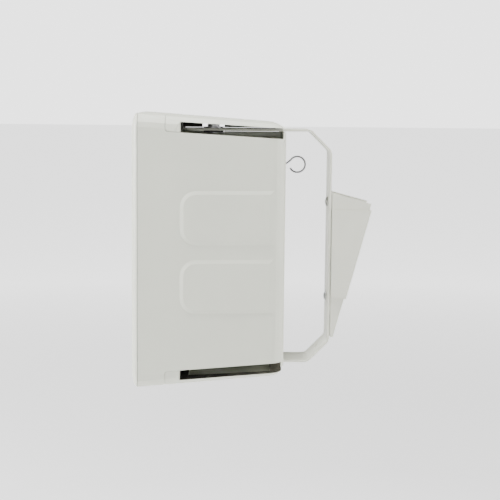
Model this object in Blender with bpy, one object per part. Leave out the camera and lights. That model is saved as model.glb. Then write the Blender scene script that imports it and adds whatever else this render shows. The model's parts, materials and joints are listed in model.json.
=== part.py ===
"""Wall loudspeaker cabinet that swivels in a yoke of bent flat bar, with a fixed tilt wedge behind the yoke.

Metres, +Z up, the cabinet's front faces -Y. The origin is the centre of the wedge's wall face.
The cabinet's pieces are modelled about the swivel axis at mid height, and hang under an empty placed there.
"""

from math import atan2, cos, degrees, hypot, pi, radians, sin, sqrt, tan

import bmesh
import bpy
from mathutils import Matrix, Vector

# Overall sizes of the cabinet
FRONT_WIDTH = 0.196
FRONT_HEIGHT = 0.330
BODY_DEPTH = 0.176
SIDE_DRAFT = radians(5.8)
TOP_DRAFT = radians(3.9)
WALL = 0.003
CORNER_RADIUS = 0.016
REAR_SIDE_FILLET = 0.016
REAR_TOP_FILLET = 0.010
FIT_GAP = 0.0003
PART_GAP = 0.0004

# Raised D-shaped fields on the sides
FIELD_HEIGHT = 0.065
FIELD_SPACING = 0.0174
FIELD_FRONT = 0.0384
FIELD_RADIUS = 0.019
FIELD_BEVEL = 0.0045
FIELD_RAISE = 0.0014
FIELD_RUN_OUT = 0.0017

# Channels for the yoke's arms, their covers and the lip behind each
SLOT_DRAFT = radians(3.3)
COVER_EDGE = 0.0063
SLOT_CLEARANCE = 0.0015
COVER_FRONT = 0.056
COVER_CORNER = 0.0035
SLOT_FRONT = 0.0378
SLOT_NOSE = 0.0078
COVER_SKIN = 0.003
COVER_SCREW_SEAT = 0.003
REAR_LIP = 0.0035
KEEL_THICKNESS = 0.0025
KEEL_CLEARANCE = 0.0012

# Yoke of flat bar
YOKE_WIDTH = 0.050
YOKE_THICKNESS = 0.003
YOKE_CHAMFER = 0.026
YOKE_BEND_RADIUS = 0.010
YOKE_HOLE_RADIUS = 0.003
ARM_FRONT = 0.0365
ARM_CORNER = 0.008
ARM_CLEARANCE = 0.0006
LIP_CLEARANCE = 0.001
SWING_CLEARANCE = 0.003
SWEEP_CLEARANCE = 0.0025

# Wedge of two folded channels
SHEET = 0.002
SHEET_BEND = 0.00175
WEDGE_ANGLE = radians(15)
WEDGE_TOP_REACH = 0.050
WEDGE_BOLT_SPACING = 0.120
WEDGE_BOLT_DROP = 0.005
WEDGE_TOP_EDGE = 0.0128
WEDGE_TAIL = 0.049
WALL_CHANNEL_TOP_DROP = 0.0086
WALL_PLATE_LENGTH = 0.1158
WALL_HOLE_RADIUS = 0.0033
WALL_HOLE_X = 0.014
WALL_HOLE_Z = 0.042
CHEEK_GAP = 0.001

# Fasteners
BOLT_RADIUS = 0.003
BOLT_HEAD_RADIUS = 0.00625
BOLT_HEAD_HEIGHT = 0.003
NUT_RADIUS = 0.0058
NUT_HEIGHT = 0.005
PIVOT_RADIUS = 0.004
PIVOT_HEAD_RADIUS = 0.0075
PIVOT_HEAD_HEIGHT = 0.0032
PIVOT_WASHER_RADIUS = 0.0125
PIVOT_WASHER_HEIGHT = 0.0012
INSERT_RADIUS = 0.0065
INSERT_LENGTH = 0.012
BOSS_RADIUS = 0.011
SCREW_RADIUS = 0.002
SCREW_HEAD_RADIUS = 0.0038
SCREW_EDGE = 0.0012
SCREW_HEAD_HEIGHT = 0.0028
SCREW_CHAMFER = 0.0009
NUT_OVERRUN = 0.0012
SOCKET_DEPTH = 0.0014
BORE_STEPS = 16

# Safety eye of bent wire
EYE_HEIGHT = 0.3076 * FRONT_HEIGHT
EYE_WIRE = 0.0011
EYE_RING_RADIUS = 0.0099
EYE_REACH = 0.0172
EYE_SHANK = 0.012
EYE_STEM = 0.002
EYE_STEM_END = 0.004
EYE_LEAD = 20
EYE_TURN = 300
EYE_NUT_RADIUS = 0.0040
EYE_NUT_HEIGHT = 0.0035

# Front grille and baffle
GRILLE_DEPTH = 0.0075
GRILLE_ROLL = 0.017
GRILLE_SHEET = 0.0012
GRILLE_GAP = 0.0005
CLOTH = 0.0010
CLOTH_CORNER = 0.008
BAFFLE_THICKNESS = 0.008
BAFFLE_SINK = 0.0035
BAFFLE_CLEARANCE = 0.0012
BAFFLE_SCREW_INSET = 0.0115
POST_RADIUS = 0.0055

# Woofer, measured along its own axis from the front of its flange
DRIVER_ROOM = min(FRONT_WIDTH, 0.6 * FRONT_HEIGHT)
WOOFER_DROP = 0.188 * FRONT_HEIGHT
WOOFER_FLANGE_RADIUS = 0.4235 * DRIVER_ROOM
WOOFER_CUTOUT_RADIUS = WOOFER_FLANGE_RADIUS - 0.011
WOOFER_BASKET_DEPTH = 0.044
WOOFER_FLANGE = 0.004
WOOFER_RIM = 0.006
BASKET_SHEET = 0.0025
BASKET_WINDOW_HALF_WIDTH = 0.014
BASKET_WINDOW_FOOT = 0.009
BASKET_WINDOW_HEAD = 0.010
WOOFER_CONE_RADIUS = WOOFER_CUTOUT_RADIUS - 0.014
CONE_NECK_DEPTH = 0.0285
CONE_PAPER = 0.0012
CONE_NECK_GAP = 0.0014
DUST_CAP_OVERLAP = 0.009
DUST_CAP_RISE = 0.008
DUST_CAP_PAPER = 0.0008
SURROUND_RUBBER = 0.001
SURROUND_LIP = 0.003
SURROUND_SEAT = 0.0017
SPIDER_CLOTH = 0.0006
SPIDER_WAVES = 3
SPIDER_WAVE_HEIGHT = 0.0015
SPIDER_RISE = 0.0095
SPIDER_DROP = 0.004
COIL_RADIUS = 0.016
COIL_WIRE = 0.0011
COIL_FORMER = 0.0004
COIL_LENGTH = 0.012
COIL_BELOW_PLATE = 0.005
COIL_NECK_DEPTH = 0.0225
POLE_RADIUS = 0.0152
GAP_RADIUS = 0.0186
MAGNET_RADIUS = 0.045
TOP_PLATE = 0.006
MAGNET_HEIGHT = 0.016
PLATE_STEP = 0.003
WOOFER_SCREW_LENGTH = 0.0088

# Tweeter
TWEETER_RISE = 0.2667 * FRONT_HEIGHT
TWEETER_RADIUS = 0.255 * DRIVER_ROOM
TWEETER_CUTOUT_RADIUS = TWEETER_RADIUS - 0.008
TWEETER_FLANGE = 0.003
TWEETER_WALL = 0.004
HORN_DEPTH = 0.0085
TWEETER_PLATE_DEPTH = 0.0105
DOME_RADIUS = 0.0128
DOME_RISE = 0.006
DOME_SKIN = 0.0007
DOME_SEAT = 0.0095
TWEETER_MAGNET_RADIUS = 0.036
TWEETER_MAGNET_HEIGHT = 0.016
TWEETER_VENT_RADIUS = 0.004

# Terminal cup, tap switch and electrics
CUP_DROP = FRONT_HEIGHT / 11
CUP_HALF_WIDTH = 0.045
CUP_HALF_HEIGHT = FRONT_HEIGHT / 11
CUP_DEPTH = 0.024
CUP_WALL = 0.002
CUP_FLANGE = 0.006
CUP_CORNER = 0.006
CUP_TAPER = 0.001
KNOB_X = 0.020
KNOB_RADIUS = 0.011
KNOB_HEIGHT = 0.012
KNOB_SKIRT = 0.003
KNOB_TAPER = 0.0028
KNOB_CHAMFER = 0.001
KNOB_POINTER = 0.0006
SHAFT_RADIUS = 0.003
SHAFT_LENGTH = 0.009
SWITCH_RADIUS = 0.014
SWITCH_DEPTH = 0.014
TERMINAL_COUNT = 4
TERMINAL_PITCH = 0.0076
TERMINAL_HALF_WIDTH = 0.016
TERMINAL_HALF_HEIGHT = 0.008
TERMINAL_DEPTH = 0.012
TERMINAL_HOLE_RADIUS = 0.0023
BOARD_CLEARANCE = 0.007
BOARD_HALF_WIDTH = 0.040
BOARD_HALF_HEIGHT = 0.0727 * FRONT_HEIGHT
BOARD_THICKNESS = 0.0016
BOARD_HOLE_INSET = 0.006
BOARD_HOLE_RADIUS = 0.0014
STANDOFF = 0.007
STANDOFF_RADIUS = 0.003
CHOKE_X = 0.018
CHOKE_INNER_RADIUS = 0.007
CHOKE_RADIUS = 0.016
CHOKE_HEIGHT = 0.014
CAPACITOR_X = 0.020
CAPACITOR_RADIUS = 0.0065
CAPACITOR_LENGTH = 0.026
TRANSFORMER_RISE = 0.046
CORE_DEPTH = 0.046
CORE_HEIGHT = 0.038
CORE_STACK = 0.018
CORE_LEG = 0.014
CORE_WINDOW_DEPTH = 0.009
CORE_WINDOW_HEIGHT = 0.026
WINDING_BULGE = 0.008
FELT_THICKNESS = 0.008
FELT_FRONT = 0.045
FELT_BACK = 0.055
FELT_HALF_HEIGHT = 0.095

ROUND = 24

# Places that follow from the sizes
HALF_DEPTH = BODY_DEPTH / 2
ARM_SWEEP = hypot(ARM_FRONT, YOKE_WIDTH / 2)
POCKET_RADIUS = ARM_SWEEP + SWEEP_CLEARANCE
SLOT_HEIGHT = (ARM_SWEEP + HALF_DEPTH) * tan(SLOT_DRAFT) + ARM_CLEARANCE + YOKE_THICKNESS + SLOT_CLEARANCE
POST_LENGTH = (HALF_DEPTH - BAFFLE_THICKNESS - COVER_FRONT - WALL) * 0.75
BAFFLE_SCREW_LENGTH = BAFFLE_THICKNESS - BAFFLE_SINK + POST_LENGTH * 0.6
SHELL_FRONT = -HALF_DEPTH
GRILLE_BACK = SHELL_FRONT - GRILLE_GAP
GRILLE_FRONT = GRILLE_BACK - GRILLE_DEPTH
BAFFLE_BACK = SHELL_FRONT + BAFFLE_THICKNESS
DRIVER_FRONT = BAFFLE_BACK + FIT_GAP
REAR_WALL = HALF_DEPTH - WALL


def outer_half_width(y):
    return FRONT_WIDTH / 2 - (y + HALF_DEPTH) * tan(SIDE_DRAFT)


def outer_half_height(y):
    return FRONT_HEIGHT / 2 - (y + HALF_DEPTH) * tan(TOP_DRAFT)


def slot_ceiling(y):
    """Height of the channel cover's inner face."""
    return outer_half_height(0) - COVER_EDGE - y * tan(SLOT_DRAFT)


def slot_floor(y):
    """Height of the shell's face under the yoke's arm."""
    return slot_ceiling(y) - SLOT_HEIGHT


ARM_BOTTOM = slot_floor(-ARM_SWEEP) + ARM_CLEARANCE
ARM_TOP = ARM_BOTTOM + YOKE_THICKNESS
ARM_MIDDLE = ARM_BOTTOM + YOKE_THICKNESS / 2
LIP_TOP = ARM_BOTTOM - LIP_CLEARANCE

BOARD_DROP = slot_floor(HALF_DEPTH) - WALL - BOARD_CLEARANCE - BOARD_HALF_HEIGHT
CORNER_CUT = REAR_SIDE_FILLET * (1 - 1 / sqrt(2))
SWING_RADIUS = hypot(outer_half_width(HALF_DEPTH) - CORNER_CUT, HALF_DEPTH - CORNER_CUT)
BEND_TANGENT = YOKE_BEND_RADIUS * tan(radians(22.5))
ARM_STRAIGHT_END = SWING_RADIUS + SWING_CLEARANCE
YOKE_REACH = ARM_STRAIGHT_END + BEND_TANGENT + YOKE_CHAMFER
YOKE_BACK = YOKE_REACH + YOKE_THICKNESS / 2
YOKE_INNER = YOKE_REACH - YOKE_THICKNESS / 2

UPPER_BOLT_Z = WEDGE_BOLT_SPACING / 2 - WEDGE_BOLT_DROP
LOWER_BOLT_Z = -WEDGE_BOLT_SPACING / 2 - WEDGE_BOLT_DROP
CHANNEL_TOP = UPPER_BOLT_Z + WEDGE_TOP_EDGE
CHANNEL_BOTTOM = LOWER_BOLT_Z - WEDGE_TAIL
CHANNEL_BACK = YOKE_BACK + FIT_GAP
WALL_PLATE_TOP = UPPER_BOLT_Z - WALL_CHANNEL_TOP_DROP
WALL_PLATE_TOP_Y = YOKE_BACK + WEDGE_TOP_REACH
WALL_FACE_Y = WALL_PLATE_TOP_Y - WALL_PLATE_LENGTH / 2 * sin(WEDGE_ANGLE)
WALL_FACE_Z = WALL_PLATE_TOP - WALL_PLATE_LENGTH / 2 * cos(WEDGE_ANGLE)


def remove_everything():
    for item in list(bpy.data.objects):
        bpy.data.objects.remove(item, do_unlink=True)


# Materials

def material(name, colour, roughness, metallic=0.0):
    """One Principled BSDF material, made once and shared by name."""
    found = bpy.data.materials.get(name)
    if found:
        return found
    made = bpy.data.materials.new(name)
    made.use_nodes = True
    shader = made.node_tree.nodes["Principled BSDF"]
    shader.inputs["Base Color"].default_value = (*colour, 1.0)
    shader.inputs["Roughness"].default_value = roughness
    shader.inputs["Metallic"].default_value = metallic
    return made


def cabinet_plastic():
    return material("cabinet_plastic", (0.56, 0.57, 0.53), 0.45)


def bracket_paint():
    return material("bracket_paint", (0.62, 0.62, 0.58), 0.40)


def grille_paint():
    return material("grille_paint", (0.60, 0.61, 0.57), 0.45)


def zinc():
    return material("zinc", (0.60, 0.60, 0.60), 0.35, 1.0)


def brass():
    return material("brass", (0.70, 0.52, 0.25), 0.35, 1.0)


def black_plastic():
    return material("black_plastic", (0.03, 0.03, 0.03), 0.50)


def basket_paint():
    return material("basket_paint", (0.03, 0.03, 0.03), 0.40)


def soft_rubber():
    return material("soft_rubber", (0.02, 0.02, 0.02), 0.65)


def cone_paper():
    return material("cone_paper", (0.05, 0.05, 0.05), 0.80)


def spider_cloth():
    return material("spider_cloth", (0.50, 0.36, 0.16), 0.85)


def ferrite():
    return material("ferrite", (0.07, 0.07, 0.08), 0.55, 0.2)


def copper():
    return material("copper", (0.60, 0.25, 0.12), 0.35, 1.0)


def cloth():
    return material("cloth", (0.04, 0.04, 0.04), 0.95)


def lamination_steel():
    return material("lamination_steel", (0.30, 0.31, 0.33), 0.45, 1.0)


def board_green():
    return material("board_green", (0.03, 0.16, 0.06), 0.45)


def felt_grey():
    return material("felt_grey", (0.22, 0.22, 0.22), 0.95)


# Building blocks

def empty(name, location, rotation=(0, 0, 0), parent=None):
    made = bpy.data.objects.new(name, None)
    bpy.context.scene.collection.objects.link(made)
    made.parent = parent
    made.location = location
    made.rotation_euler = rotation
    return made


def finish(name, bm, look, parent, location=(0, 0, 0), rotation=(0, 0, 0), smooth=False):
    """Turn a bmesh into a named, placed object with outward faces."""
    bmesh.ops.remove_doubles(bm, verts=bm.verts, dist=1e-6)
    bmesh.ops.recalc_face_normals(bm, faces=bm.faces)
    mesh = bpy.data.meshes.new(name)
    bm.to_mesh(mesh)
    bm.free()
    if smooth:
        mesh.shade_smooth()
        mesh.set_sharp_from_angle(angle=radians(35))
    if look:
        mesh.materials.append(look)
    made = bpy.data.objects.new(name, mesh)
    bpy.context.scene.collection.objects.link(made)
    made.parent = parent
    made.location = location
    made.rotation_euler = rotation
    return made


def loft(rings):
    """Skin through rings of equally many points, closed by a face at each end."""
    bm = bmesh.new()
    rows = []
    for ring in rings:
        rows.append([bm.verts.new(point) for point in ring])
    for row, following in zip(rows, rows[1:]):
        count = len(row)
        for i in range(count):
            j = (i + 1) % count
            bm.faces.new((row[i], row[j], following[j], following[i]))
    bm.faces.new(rows[0])
    bm.faces.new(rows[-1])
    return bm


def prism(outline, direction, low, high):
    """Extrude a flat outline along X, Y or Z from low to high."""
    place = {
        "X": lambda a, b, c: (c, a, b),
        "Y": lambda a, b, c: (a, c, b),
        "Z": lambda a, b, c: (a, b, c),
    }[direction]
    near = [place(a, b, low) for a, b in outline]
    far = [place(a, b, high) for a, b in outline]
    return loft([near, far])


def block(low, high):
    """A box between two corners."""
    outline = [(low[0], low[1]), (high[0], low[1]), (high[0], high[1]), (low[0], high[1])]
    return prism(outline, "Z", low[2], high[2])


def turned(profile, steps=ROUND):
    """Revolve a closed (radius, height) outline about Z; points on the axis close to one vertex."""
    bm = bmesh.new()
    rows = []
    for radius, height in profile:
        if radius < 1e-7:
            rows.append([bm.verts.new((0, 0, height))])
        else:
            angles = [2 * pi * k / steps for k in range(steps)]
            rows.append([bm.verts.new((radius * cos(a), radius * sin(a), height)) for a in angles])
    for index, row in enumerate(rows):
        following = rows[(index + 1) % len(rows)]
        if len(row) == 1 and len(following) == 1:
            continue
        for i in range(steps):
            j = (i + 1) % steps
            near = [row[i % len(row)], row[j % len(row)]]
            far = [following[j % len(following)], following[i % len(following)]]
            bm.faces.new(dict.fromkeys(near + far))
    return bm


def arc(centre, radius, start, end, steps):
    """Points on an arc, in degrees, both ends included."""
    points = []
    for k in range(steps + 1):
        angle = radians(start + (end - start) * k / steps)
        points.append((centre[0] + radius * cos(angle), centre[1] + radius * sin(angle)))
    return points


def rounded_rectangle(half_a, half_b, radius, steps=4):
    """Outline of a rectangle with round corners, counter-clockwise."""
    points = []
    for sign_a, sign_b, start in ((1, 1, 0), (-1, 1, 90), (-1, -1, 180), (1, -1, 270)):
        centre = (sign_a * (half_a - radius), sign_b * (half_b - radius))
        points += arc(centre, radius, start, start + 90, steps)
    return points


def upright_ring(half_width, half_height, radius, y):
    """A rounded rectangle standing in the XZ plane at y."""
    return [(a, y, b) for a, b in rounded_rectangle(half_width, half_height, radius)]


def combine(target, other, operation):
    """Apply an exact Boolean of other on target, and drop other."""
    modifier = target.modifiers.new("cut", "BOOLEAN")
    modifier.operation = operation
    modifier.solver = "EXACT"
    modifier.object = other
    bpy.context.view_layer.update()
    graph = bpy.context.evaluated_depsgraph_get()
    mesh = bpy.data.meshes.new_from_object(target.evaluated_get(graph), depsgraph=graph)
    target.modifiers.clear()
    old = target.data
    target.data = mesh
    mesh.name = target.name
    bpy.data.meshes.remove(old)
    bpy.data.objects.remove(other, do_unlink=True)


def tool(bm, parent=None, location=(0, 0, 0), rotation=(0, 0, 0)):
    """A shape that only serves to cut or to join."""
    made = finish("tool", bm, None, parent, location, rotation)
    made.hide_render = True
    made.display_type = "WIRE"
    return made


def cut(target, bm, location=(0, 0, 0), rotation=(0, 0, 0)):
    combine(target, tool(bm, target.parent, location, rotation), "DIFFERENCE")


def join(target, bm, location=(0, 0, 0), rotation=(0, 0, 0)):
    combine(target, tool(bm, target.parent, location, rotation), "UNION")


def keep_inside(target, bm, location=(0, 0, 0), rotation=(0, 0, 0)):
    combine(target, tool(bm, target.parent, location, rotation), "INTERSECT")


def rod(radius, low, high, steps=ROUND):
    return turned([(0, low), (radius, low), (radius, high), (0, high)], steps)


def mirrored_rod(side, radius, low, high, steps=ROUND):
    """A rod between two heights, stood on its head when side is -1."""
    return rod(radius, *sorted((side * low, side * high)), steps)


def tube(inner, outer, low, high, steps=ROUND):
    return turned([(inner, low), (outer, low), (outer, high), (inner, high)], steps)


def hex_nut(name, bore, radius, low, high, parent, location, rotation):
    nut = finish(name, rod(radius, low, high, 6), zinc(), parent, location, rotation)
    cut(nut, rod(bore, low - radius, high + radius, BORE_STEPS), location, rotation)


# Cabinet shell

def body_rings(inset, front, steps=5):
    """Sections of the drafted body, moved inwards by inset, rounded at the back."""
    back = HALF_DEPTH - inset
    side_fillet = max(REAR_SIDE_FILLET - inset, WALL)
    top_fillet = max(REAR_TOP_FILLET - inset, WALL)
    rings = [upright_ring(outer_half_width(front) - inset, outer_half_height(front) - inset,
                          CORNER_RADIUS - inset, front)]
    for k in range(steps + 1):
        angle = pi / 2 * k / steps
        y = back - side_fillet * (1 - sin(angle))
        shrink = 1 - cos(angle)
        radius = max(CORNER_RADIUS - inset - 0.4 * side_fillet * shrink, WALL)
        rings.append(upright_ring(outer_half_width(y) - inset - side_fillet * shrink,
                                  outer_half_height(y) - inset - top_fillet * shrink, radius, y))
    return rings


def recess_outline(side, front, drop, lip, corner):
    """Side view of the space above a channel floor; side is 1 for the top and -1 for the bottom."""
    high = FRONT_HEIGHT
    far = BODY_DEPTH
    lip_front = HALF_DEPTH - REAR_LIP if lip else far
    floor_back = slot_floor(lip_front) - drop
    corner_points = []
    for k in range(5):
        angle = radians(90 * k / 4)
        y = front + corner - corner * cos(angle)
        z = slot_floor(front) - drop + corner * (1 - sin(angle))
        corner_points.append((y, z))
    points = [(front, high)] + corner_points + [(lip_front, floor_back)]
    if lip:
        points += [(lip_front, LIP_TOP), (far, LIP_TOP)]
    points.append((far, high))
    return [(y, side * z) for y, z in points]


def field_ring(level, side_x, side_z):
    """D-shaped section of a raised field, level above the side wall, which widens towards the wall."""
    inset = FIELD_BEVEL * level / FIELD_RAISE
    low = FIELD_SPACING / 2 + inset
    high = FIELD_SPACING / 2 + FIELD_HEIGHT - inset
    front = -FIELD_FRONT + inset
    back = HALF_DEPTH - REAR_SIDE_FILLET + FIELD_RUN_OUT - inset
    radius = FIELD_RADIUS - inset
    outline = [(back, low)]
    outline += arc((front + radius, low + radius), radius, 270, 180, 5)
    outline += arc((front + radius, high - radius), radius, 180, 90, 5)
    outline.append((back, high))
    return [(side_x * (outer_half_width(y) + level), y, side_z * z) for y, z in outline]


def add_side_fields(shell):
    """Raise the two fields on each side, with sloping edges all round."""
    for side_x in (1, -1):
        for side_z in (1, -1):
            rings = [field_ring(-WALL / 2, side_x, side_z), field_ring(FIELD_RAISE, side_x, side_z)]
            join(shell, loft(rings))


def build_shell(parent):
    shell = finish("rear_shell", loft(body_rings(0, SHELL_FRONT)), cabinet_plastic(), parent)
    hollow = tool(loft(body_rings(WALL, SHELL_FRONT - WALL)), parent)
    wide = FRONT_WIDTH
    for side in (1, -1):
        cut(hollow, prism(recess_outline(side, -COVER_FRONT - WALL, WALL, False, COVER_CORNER), "X", -wide, wide))
    combine(shell, hollow, "DIFFERENCE")
    for side in (1, -1):
        cut(shell, prism(recess_outline(side, -COVER_FRONT, 0, True, COVER_CORNER), "X", -wide, wide))
        floor = slot_floor(0)
        join(shell, mirrored_rod(side, BOSS_RADIUS, floor - WALL / 2, floor - INSERT_LENGTH - WALL, 20))
        cut(shell, mirrored_rod(side, INSERT_RADIUS + FIT_GAP, floor + WALL, floor - INSERT_LENGTH - 2 * WALL,
                                BORE_STEPS))
        add_floor_keel(shell, side)
    add_baffle_posts(shell)
    cut_terminal_window(shell)
    add_standoffs(shell)
    cut(shell, rod(EYE_WIRE + FIT_GAP, -WALL, WALL, BORE_STEPS), (0, HALF_DEPTH - WALL / 2, EYE_HEIGHT),
        (pi / 2, 0, 0))
    return shell


def keel_spans(back):
    """Lengths before and behind the pivot's washer that a keel runs along."""
    clear = PIVOT_WASHER_RADIUS + KEEL_CLEARANCE
    return ((-SLOT_FRONT, -clear), (clear, back))


def add_floor_keel(shell, side):
    """Ribs on the slot's floor before and behind the pivot, as high as the rear lip, that the arm passes over."""
    for front, back in keel_spans(HALF_DEPTH - REAR_LIP / 2):
        root = slot_floor(back) - WALL / 2
        outline = [(front, side * root), (back, side * root), (back, side * LIP_TOP), (front, side * LIP_TOP)]
        join(shell, prism(outline, "X", -KEEL_THICKNESS / 2, KEEL_THICKNESS / 2))


def post_places():
    x = outer_half_width(SHELL_FRONT) - BAFFLE_SCREW_INSET
    z = outer_half_height(SHELL_FRONT) - BAFFLE_SCREW_INSET
    return [(x, z), (-x, z), (-x, -z), (x, -z)]


def add_baffle_posts(shell):
    """Posts in the corners that the baffle's screws go into, grown into the corner of the wall."""
    back = BAFFLE_BACK + FIT_GAP
    for x, z in post_places():
        join(shell, rod(POST_RADIUS, 0, POST_LENGTH, 16), (x, back + POST_LENGTH, z), (pi / 2, 0, 0))
        cut(shell, rod(SCREW_RADIUS + FIT_GAP, 0, POST_LENGTH, 12), (x, back + POST_LENGTH * 0.75, z),
            (pi / 2, 0, 0))


def cut_terminal_window(shell):
    outline = rounded_rectangle(CUP_HALF_WIDTH, CUP_HALF_HEIGHT, CUP_CORNER, 3)
    moved = [(x, z - CUP_DROP) for x, z in outline]
    cut(shell, prism(moved, "Y", REAR_WALL - WALL, HALF_DEPTH + WALL))


def standoff_places():
    x = BOARD_HALF_WIDTH - BOARD_HOLE_INSET
    z = BOARD_HALF_HEIGHT - BOARD_HOLE_INSET
    return [(x, -BOARD_DROP + z), (-x, -BOARD_DROP + z), (-x, -BOARD_DROP - z), (x, -BOARD_DROP - z)]


def add_standoffs(shell):
    for x, z in standoff_places():
        join(shell, rod(STANDOFF_RADIUS, -WALL / 2, STANDOFF, 12), (x, REAR_WALL, z), (pi / 2, 0, 0))


# Channel covers

def pocket_outline():
    """Plan of the space the yoke's arm swings in, seen from above, with a rounded nose at each side."""
    nose_y = -SLOT_FRONT - SLOT_NOSE
    side = outer_half_width(nose_y)
    wide = FRONT_WIDTH
    edge = sqrt(POCKET_RADIUS ** 2 - SLOT_FRONT ** 2)
    start = degrees(atan2(-SLOT_FRONT, edge))
    points = [(wide, BODY_DEPTH), (-wide, BODY_DEPTH), (-wide, nose_y)]
    points += arc((-side + SLOT_NOSE, nose_y), SLOT_NOSE, 180, 90, 5)
    points += arc((0, 0), POCKET_RADIUS, 180 - start, 360 + start, 10)
    points += arc((side - SLOT_NOSE, nose_y), SLOT_NOSE, 90, 0, 5)
    points.append((wide, nose_y))
    return points


def sloped_prism(outline, side, bottom, top_height):
    """Prism in Z whose far face follows a height given by a function of y."""
    near = [(x, y, side * bottom) for x, y in outline]
    far = [(x, y, side * top_height(y)) for x, y in outline]
    return loft([near, far])


def build_cover(name, side, parent):
    cover = finish(name, loft(body_rings(0, SHELL_FRONT)), cabinet_plastic(), parent)
    wide = FRONT_WIDTH
    outline = recess_outline(side, -COVER_FRONT + PART_GAP, -PART_GAP, False, COVER_CORNER)
    keep_inside(cover, prism(outline, "X", -wide, wide))
    cut(cover, sloped_prism(pocket_outline(), side, slot_floor(HALF_DEPTH) - WALL, slot_ceiling))
    half = outer_half_width(HALF_DEPTH) - REAR_SIDE_FILLET
    front = -POCKET_RADIUS * 0.6
    back = HALF_DEPTH - REAR_SIDE_FILLET
    hollow = [(-half, front), (half, front), (half, back), (-half, back)]
    skin = COVER_EDGE - COVER_SKIN

    def inside(y):
        return slot_ceiling(y) + skin - (y + HALF_DEPTH) * (tan(TOP_DRAFT) - tan(SLOT_DRAFT))

    cut(cover, sloped_prism(hollow, side, slot_ceiling(0) - SLOT_HEIGHT / 2, inside))
    add_cover_keel(cover, side, inside)
    screw_y, seat = cover_screw_place()
    here = (0, screw_y, 0)
    cut(cover, mirrored_rod(side, SCREW_RADIUS + FIT_GAP, seat - 0.03, seat + 0.01, 12), here)
    cut(cover, mirrored_rod(side, SCREW_HEAD_RADIUS + FIT_GAP, seat, seat + 0.02, BORE_STEPS), here)


def add_cover_keel(cover, side, ceiling):
    """Ribs under the cover before and behind the pivot, that the arm passes under."""
    low = ARM_TOP + LIP_CLEARANCE
    root = COVER_SKIN / 2
    for front, back in keel_spans(HALF_DEPTH - REAR_SIDE_FILLET / 2):
        outline = [(front, side * low), (back, side * low), (back, side * (ceiling(back) + root)),
                   (front, side * (ceiling(front) + root))]
        join(cover, prism(outline, "X", -KEEL_THICKNESS / 2, KEEL_THICKNESS / 2))


def cover_screw_place():
    """Where a cover's screw stands, and the height its head rests at."""
    y = -COVER_FRONT + PART_GAP + SCREW_HEAD_RADIUS + SCREW_EDGE
    return y, outer_half_height(y) - COVER_SCREW_SEAT


# Pivot hardware

def build_pivot(side, name, parent):
    """Screw, washers and insert that hold one arm of the yoke; side is 1 above and -1 below."""
    floor = slot_floor(0)
    turn = (0, 0, 0) if side > 0 else (pi, 0, 0)
    washer_low = ARM_TOP + FIT_GAP
    head_low = washer_low + PIVOT_WASHER_HEIGHT + FIT_GAP
    head_high = head_low + PIVOT_HEAD_HEIGHT
    tip = floor - INSERT_LENGTH + FIT_GAP
    socket = PIVOT_HEAD_RADIUS * 0.45
    bevel = PIVOT_HEAD_HEIGHT * 0.2
    socket_floor = head_high - SOCKET_DEPTH
    profile = [(0, tip), (PIVOT_RADIUS, tip), (PIVOT_RADIUS, head_low), (PIVOT_HEAD_RADIUS, head_low),
               (PIVOT_HEAD_RADIUS, head_high - bevel), (PIVOT_HEAD_RADIUS - bevel, head_high),
               (socket, head_high), (socket, socket_floor), (0, socket_floor)]
    here = (0, 0, 0)
    finish("pivot_screw_" + name, turned(profile, 20), zinc(), parent, here, turn, True)
    bore = PIVOT_RADIUS + FIT_GAP
    washer_high = washer_low + PIVOT_WASHER_HEIGHT
    finish("pivot_washer_" + name, tube(bore, PIVOT_WASHER_RADIUS, washer_low, washer_high), zinc(), parent,
           here, turn, True)
    pad_low = floor + PIVOT_WASHER_RADIUS * tan(SLOT_DRAFT) + FIT_GAP
    finish("friction_washer_" + name, tube(bore, PIVOT_WASHER_RADIUS, pad_low, ARM_BOTTOM - FIT_GAP),
           black_plastic(), parent, here, turn, True)
    insert_low = floor - INSERT_LENGTH - WALL / 2
    insert_high = floor - INSERT_RADIUS * tan(SLOT_DRAFT) - FIT_GAP
    finish("threaded_insert_" + name, tube(bore, INSERT_RADIUS, insert_low, insert_high, BORE_STEPS), brass(),
           parent, here, turn)


def screw_profile(length, seat=0.0):
    """Outline of a pan-head screw whose head rests at seat; its tip is length below."""
    top = seat + SCREW_HEAD_HEIGHT
    head_low = seat + FIT_GAP
    return [(0, seat - length), (SCREW_RADIUS, seat - length), (SCREW_RADIUS, head_low),
            (SCREW_HEAD_RADIUS, head_low), (SCREW_HEAD_RADIUS, top - SCREW_CHAMFER),
            (SCREW_HEAD_RADIUS - SCREW_CHAMFER, top), (0, top)]


def build_cover_screw(name, side, parent):
    y, seat = cover_screw_place()
    turn = (0, 0, 0) if side > 0 else (pi, 0, 0)
    length = seat - slot_floor(y) + 2 * WALL
    finish(name, turned(screw_profile(length, seat), 16), zinc(), parent, (0, y, 0), turn, True)


def cut_cover_screw_holes(shell):
    y, _ = cover_screw_place()
    for side in (1, -1):
        floor = slot_floor(y)
        cut(shell, mirrored_rod(side, SCREW_RADIUS + FIT_GAP, floor + WALL, floor - 3 * WALL, 12), (0, y, 0))


# Safety eye

def wire_along(points, radius, steps=8):
    """A round wire through points that lie in the YZ plane, closed at both ends."""
    rings = []
    count = len(points)
    for index, point in enumerate(points):
        before = Vector(points[max(index - 1, 0)])
        after = Vector(points[min(index + 1, count - 1)])
        along = (after - before).normalized()
        sideways = Vector((1, 0, 0))
        up = along.cross(sideways).normalized()
        ring = []
        for k in range(steps):
            angle = 2 * pi * k / steps
            ring.append(Vector(point) + radius * (cos(angle) * sideways + sin(angle) * up))
        rings.append(ring)
    return loft(rings)


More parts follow.
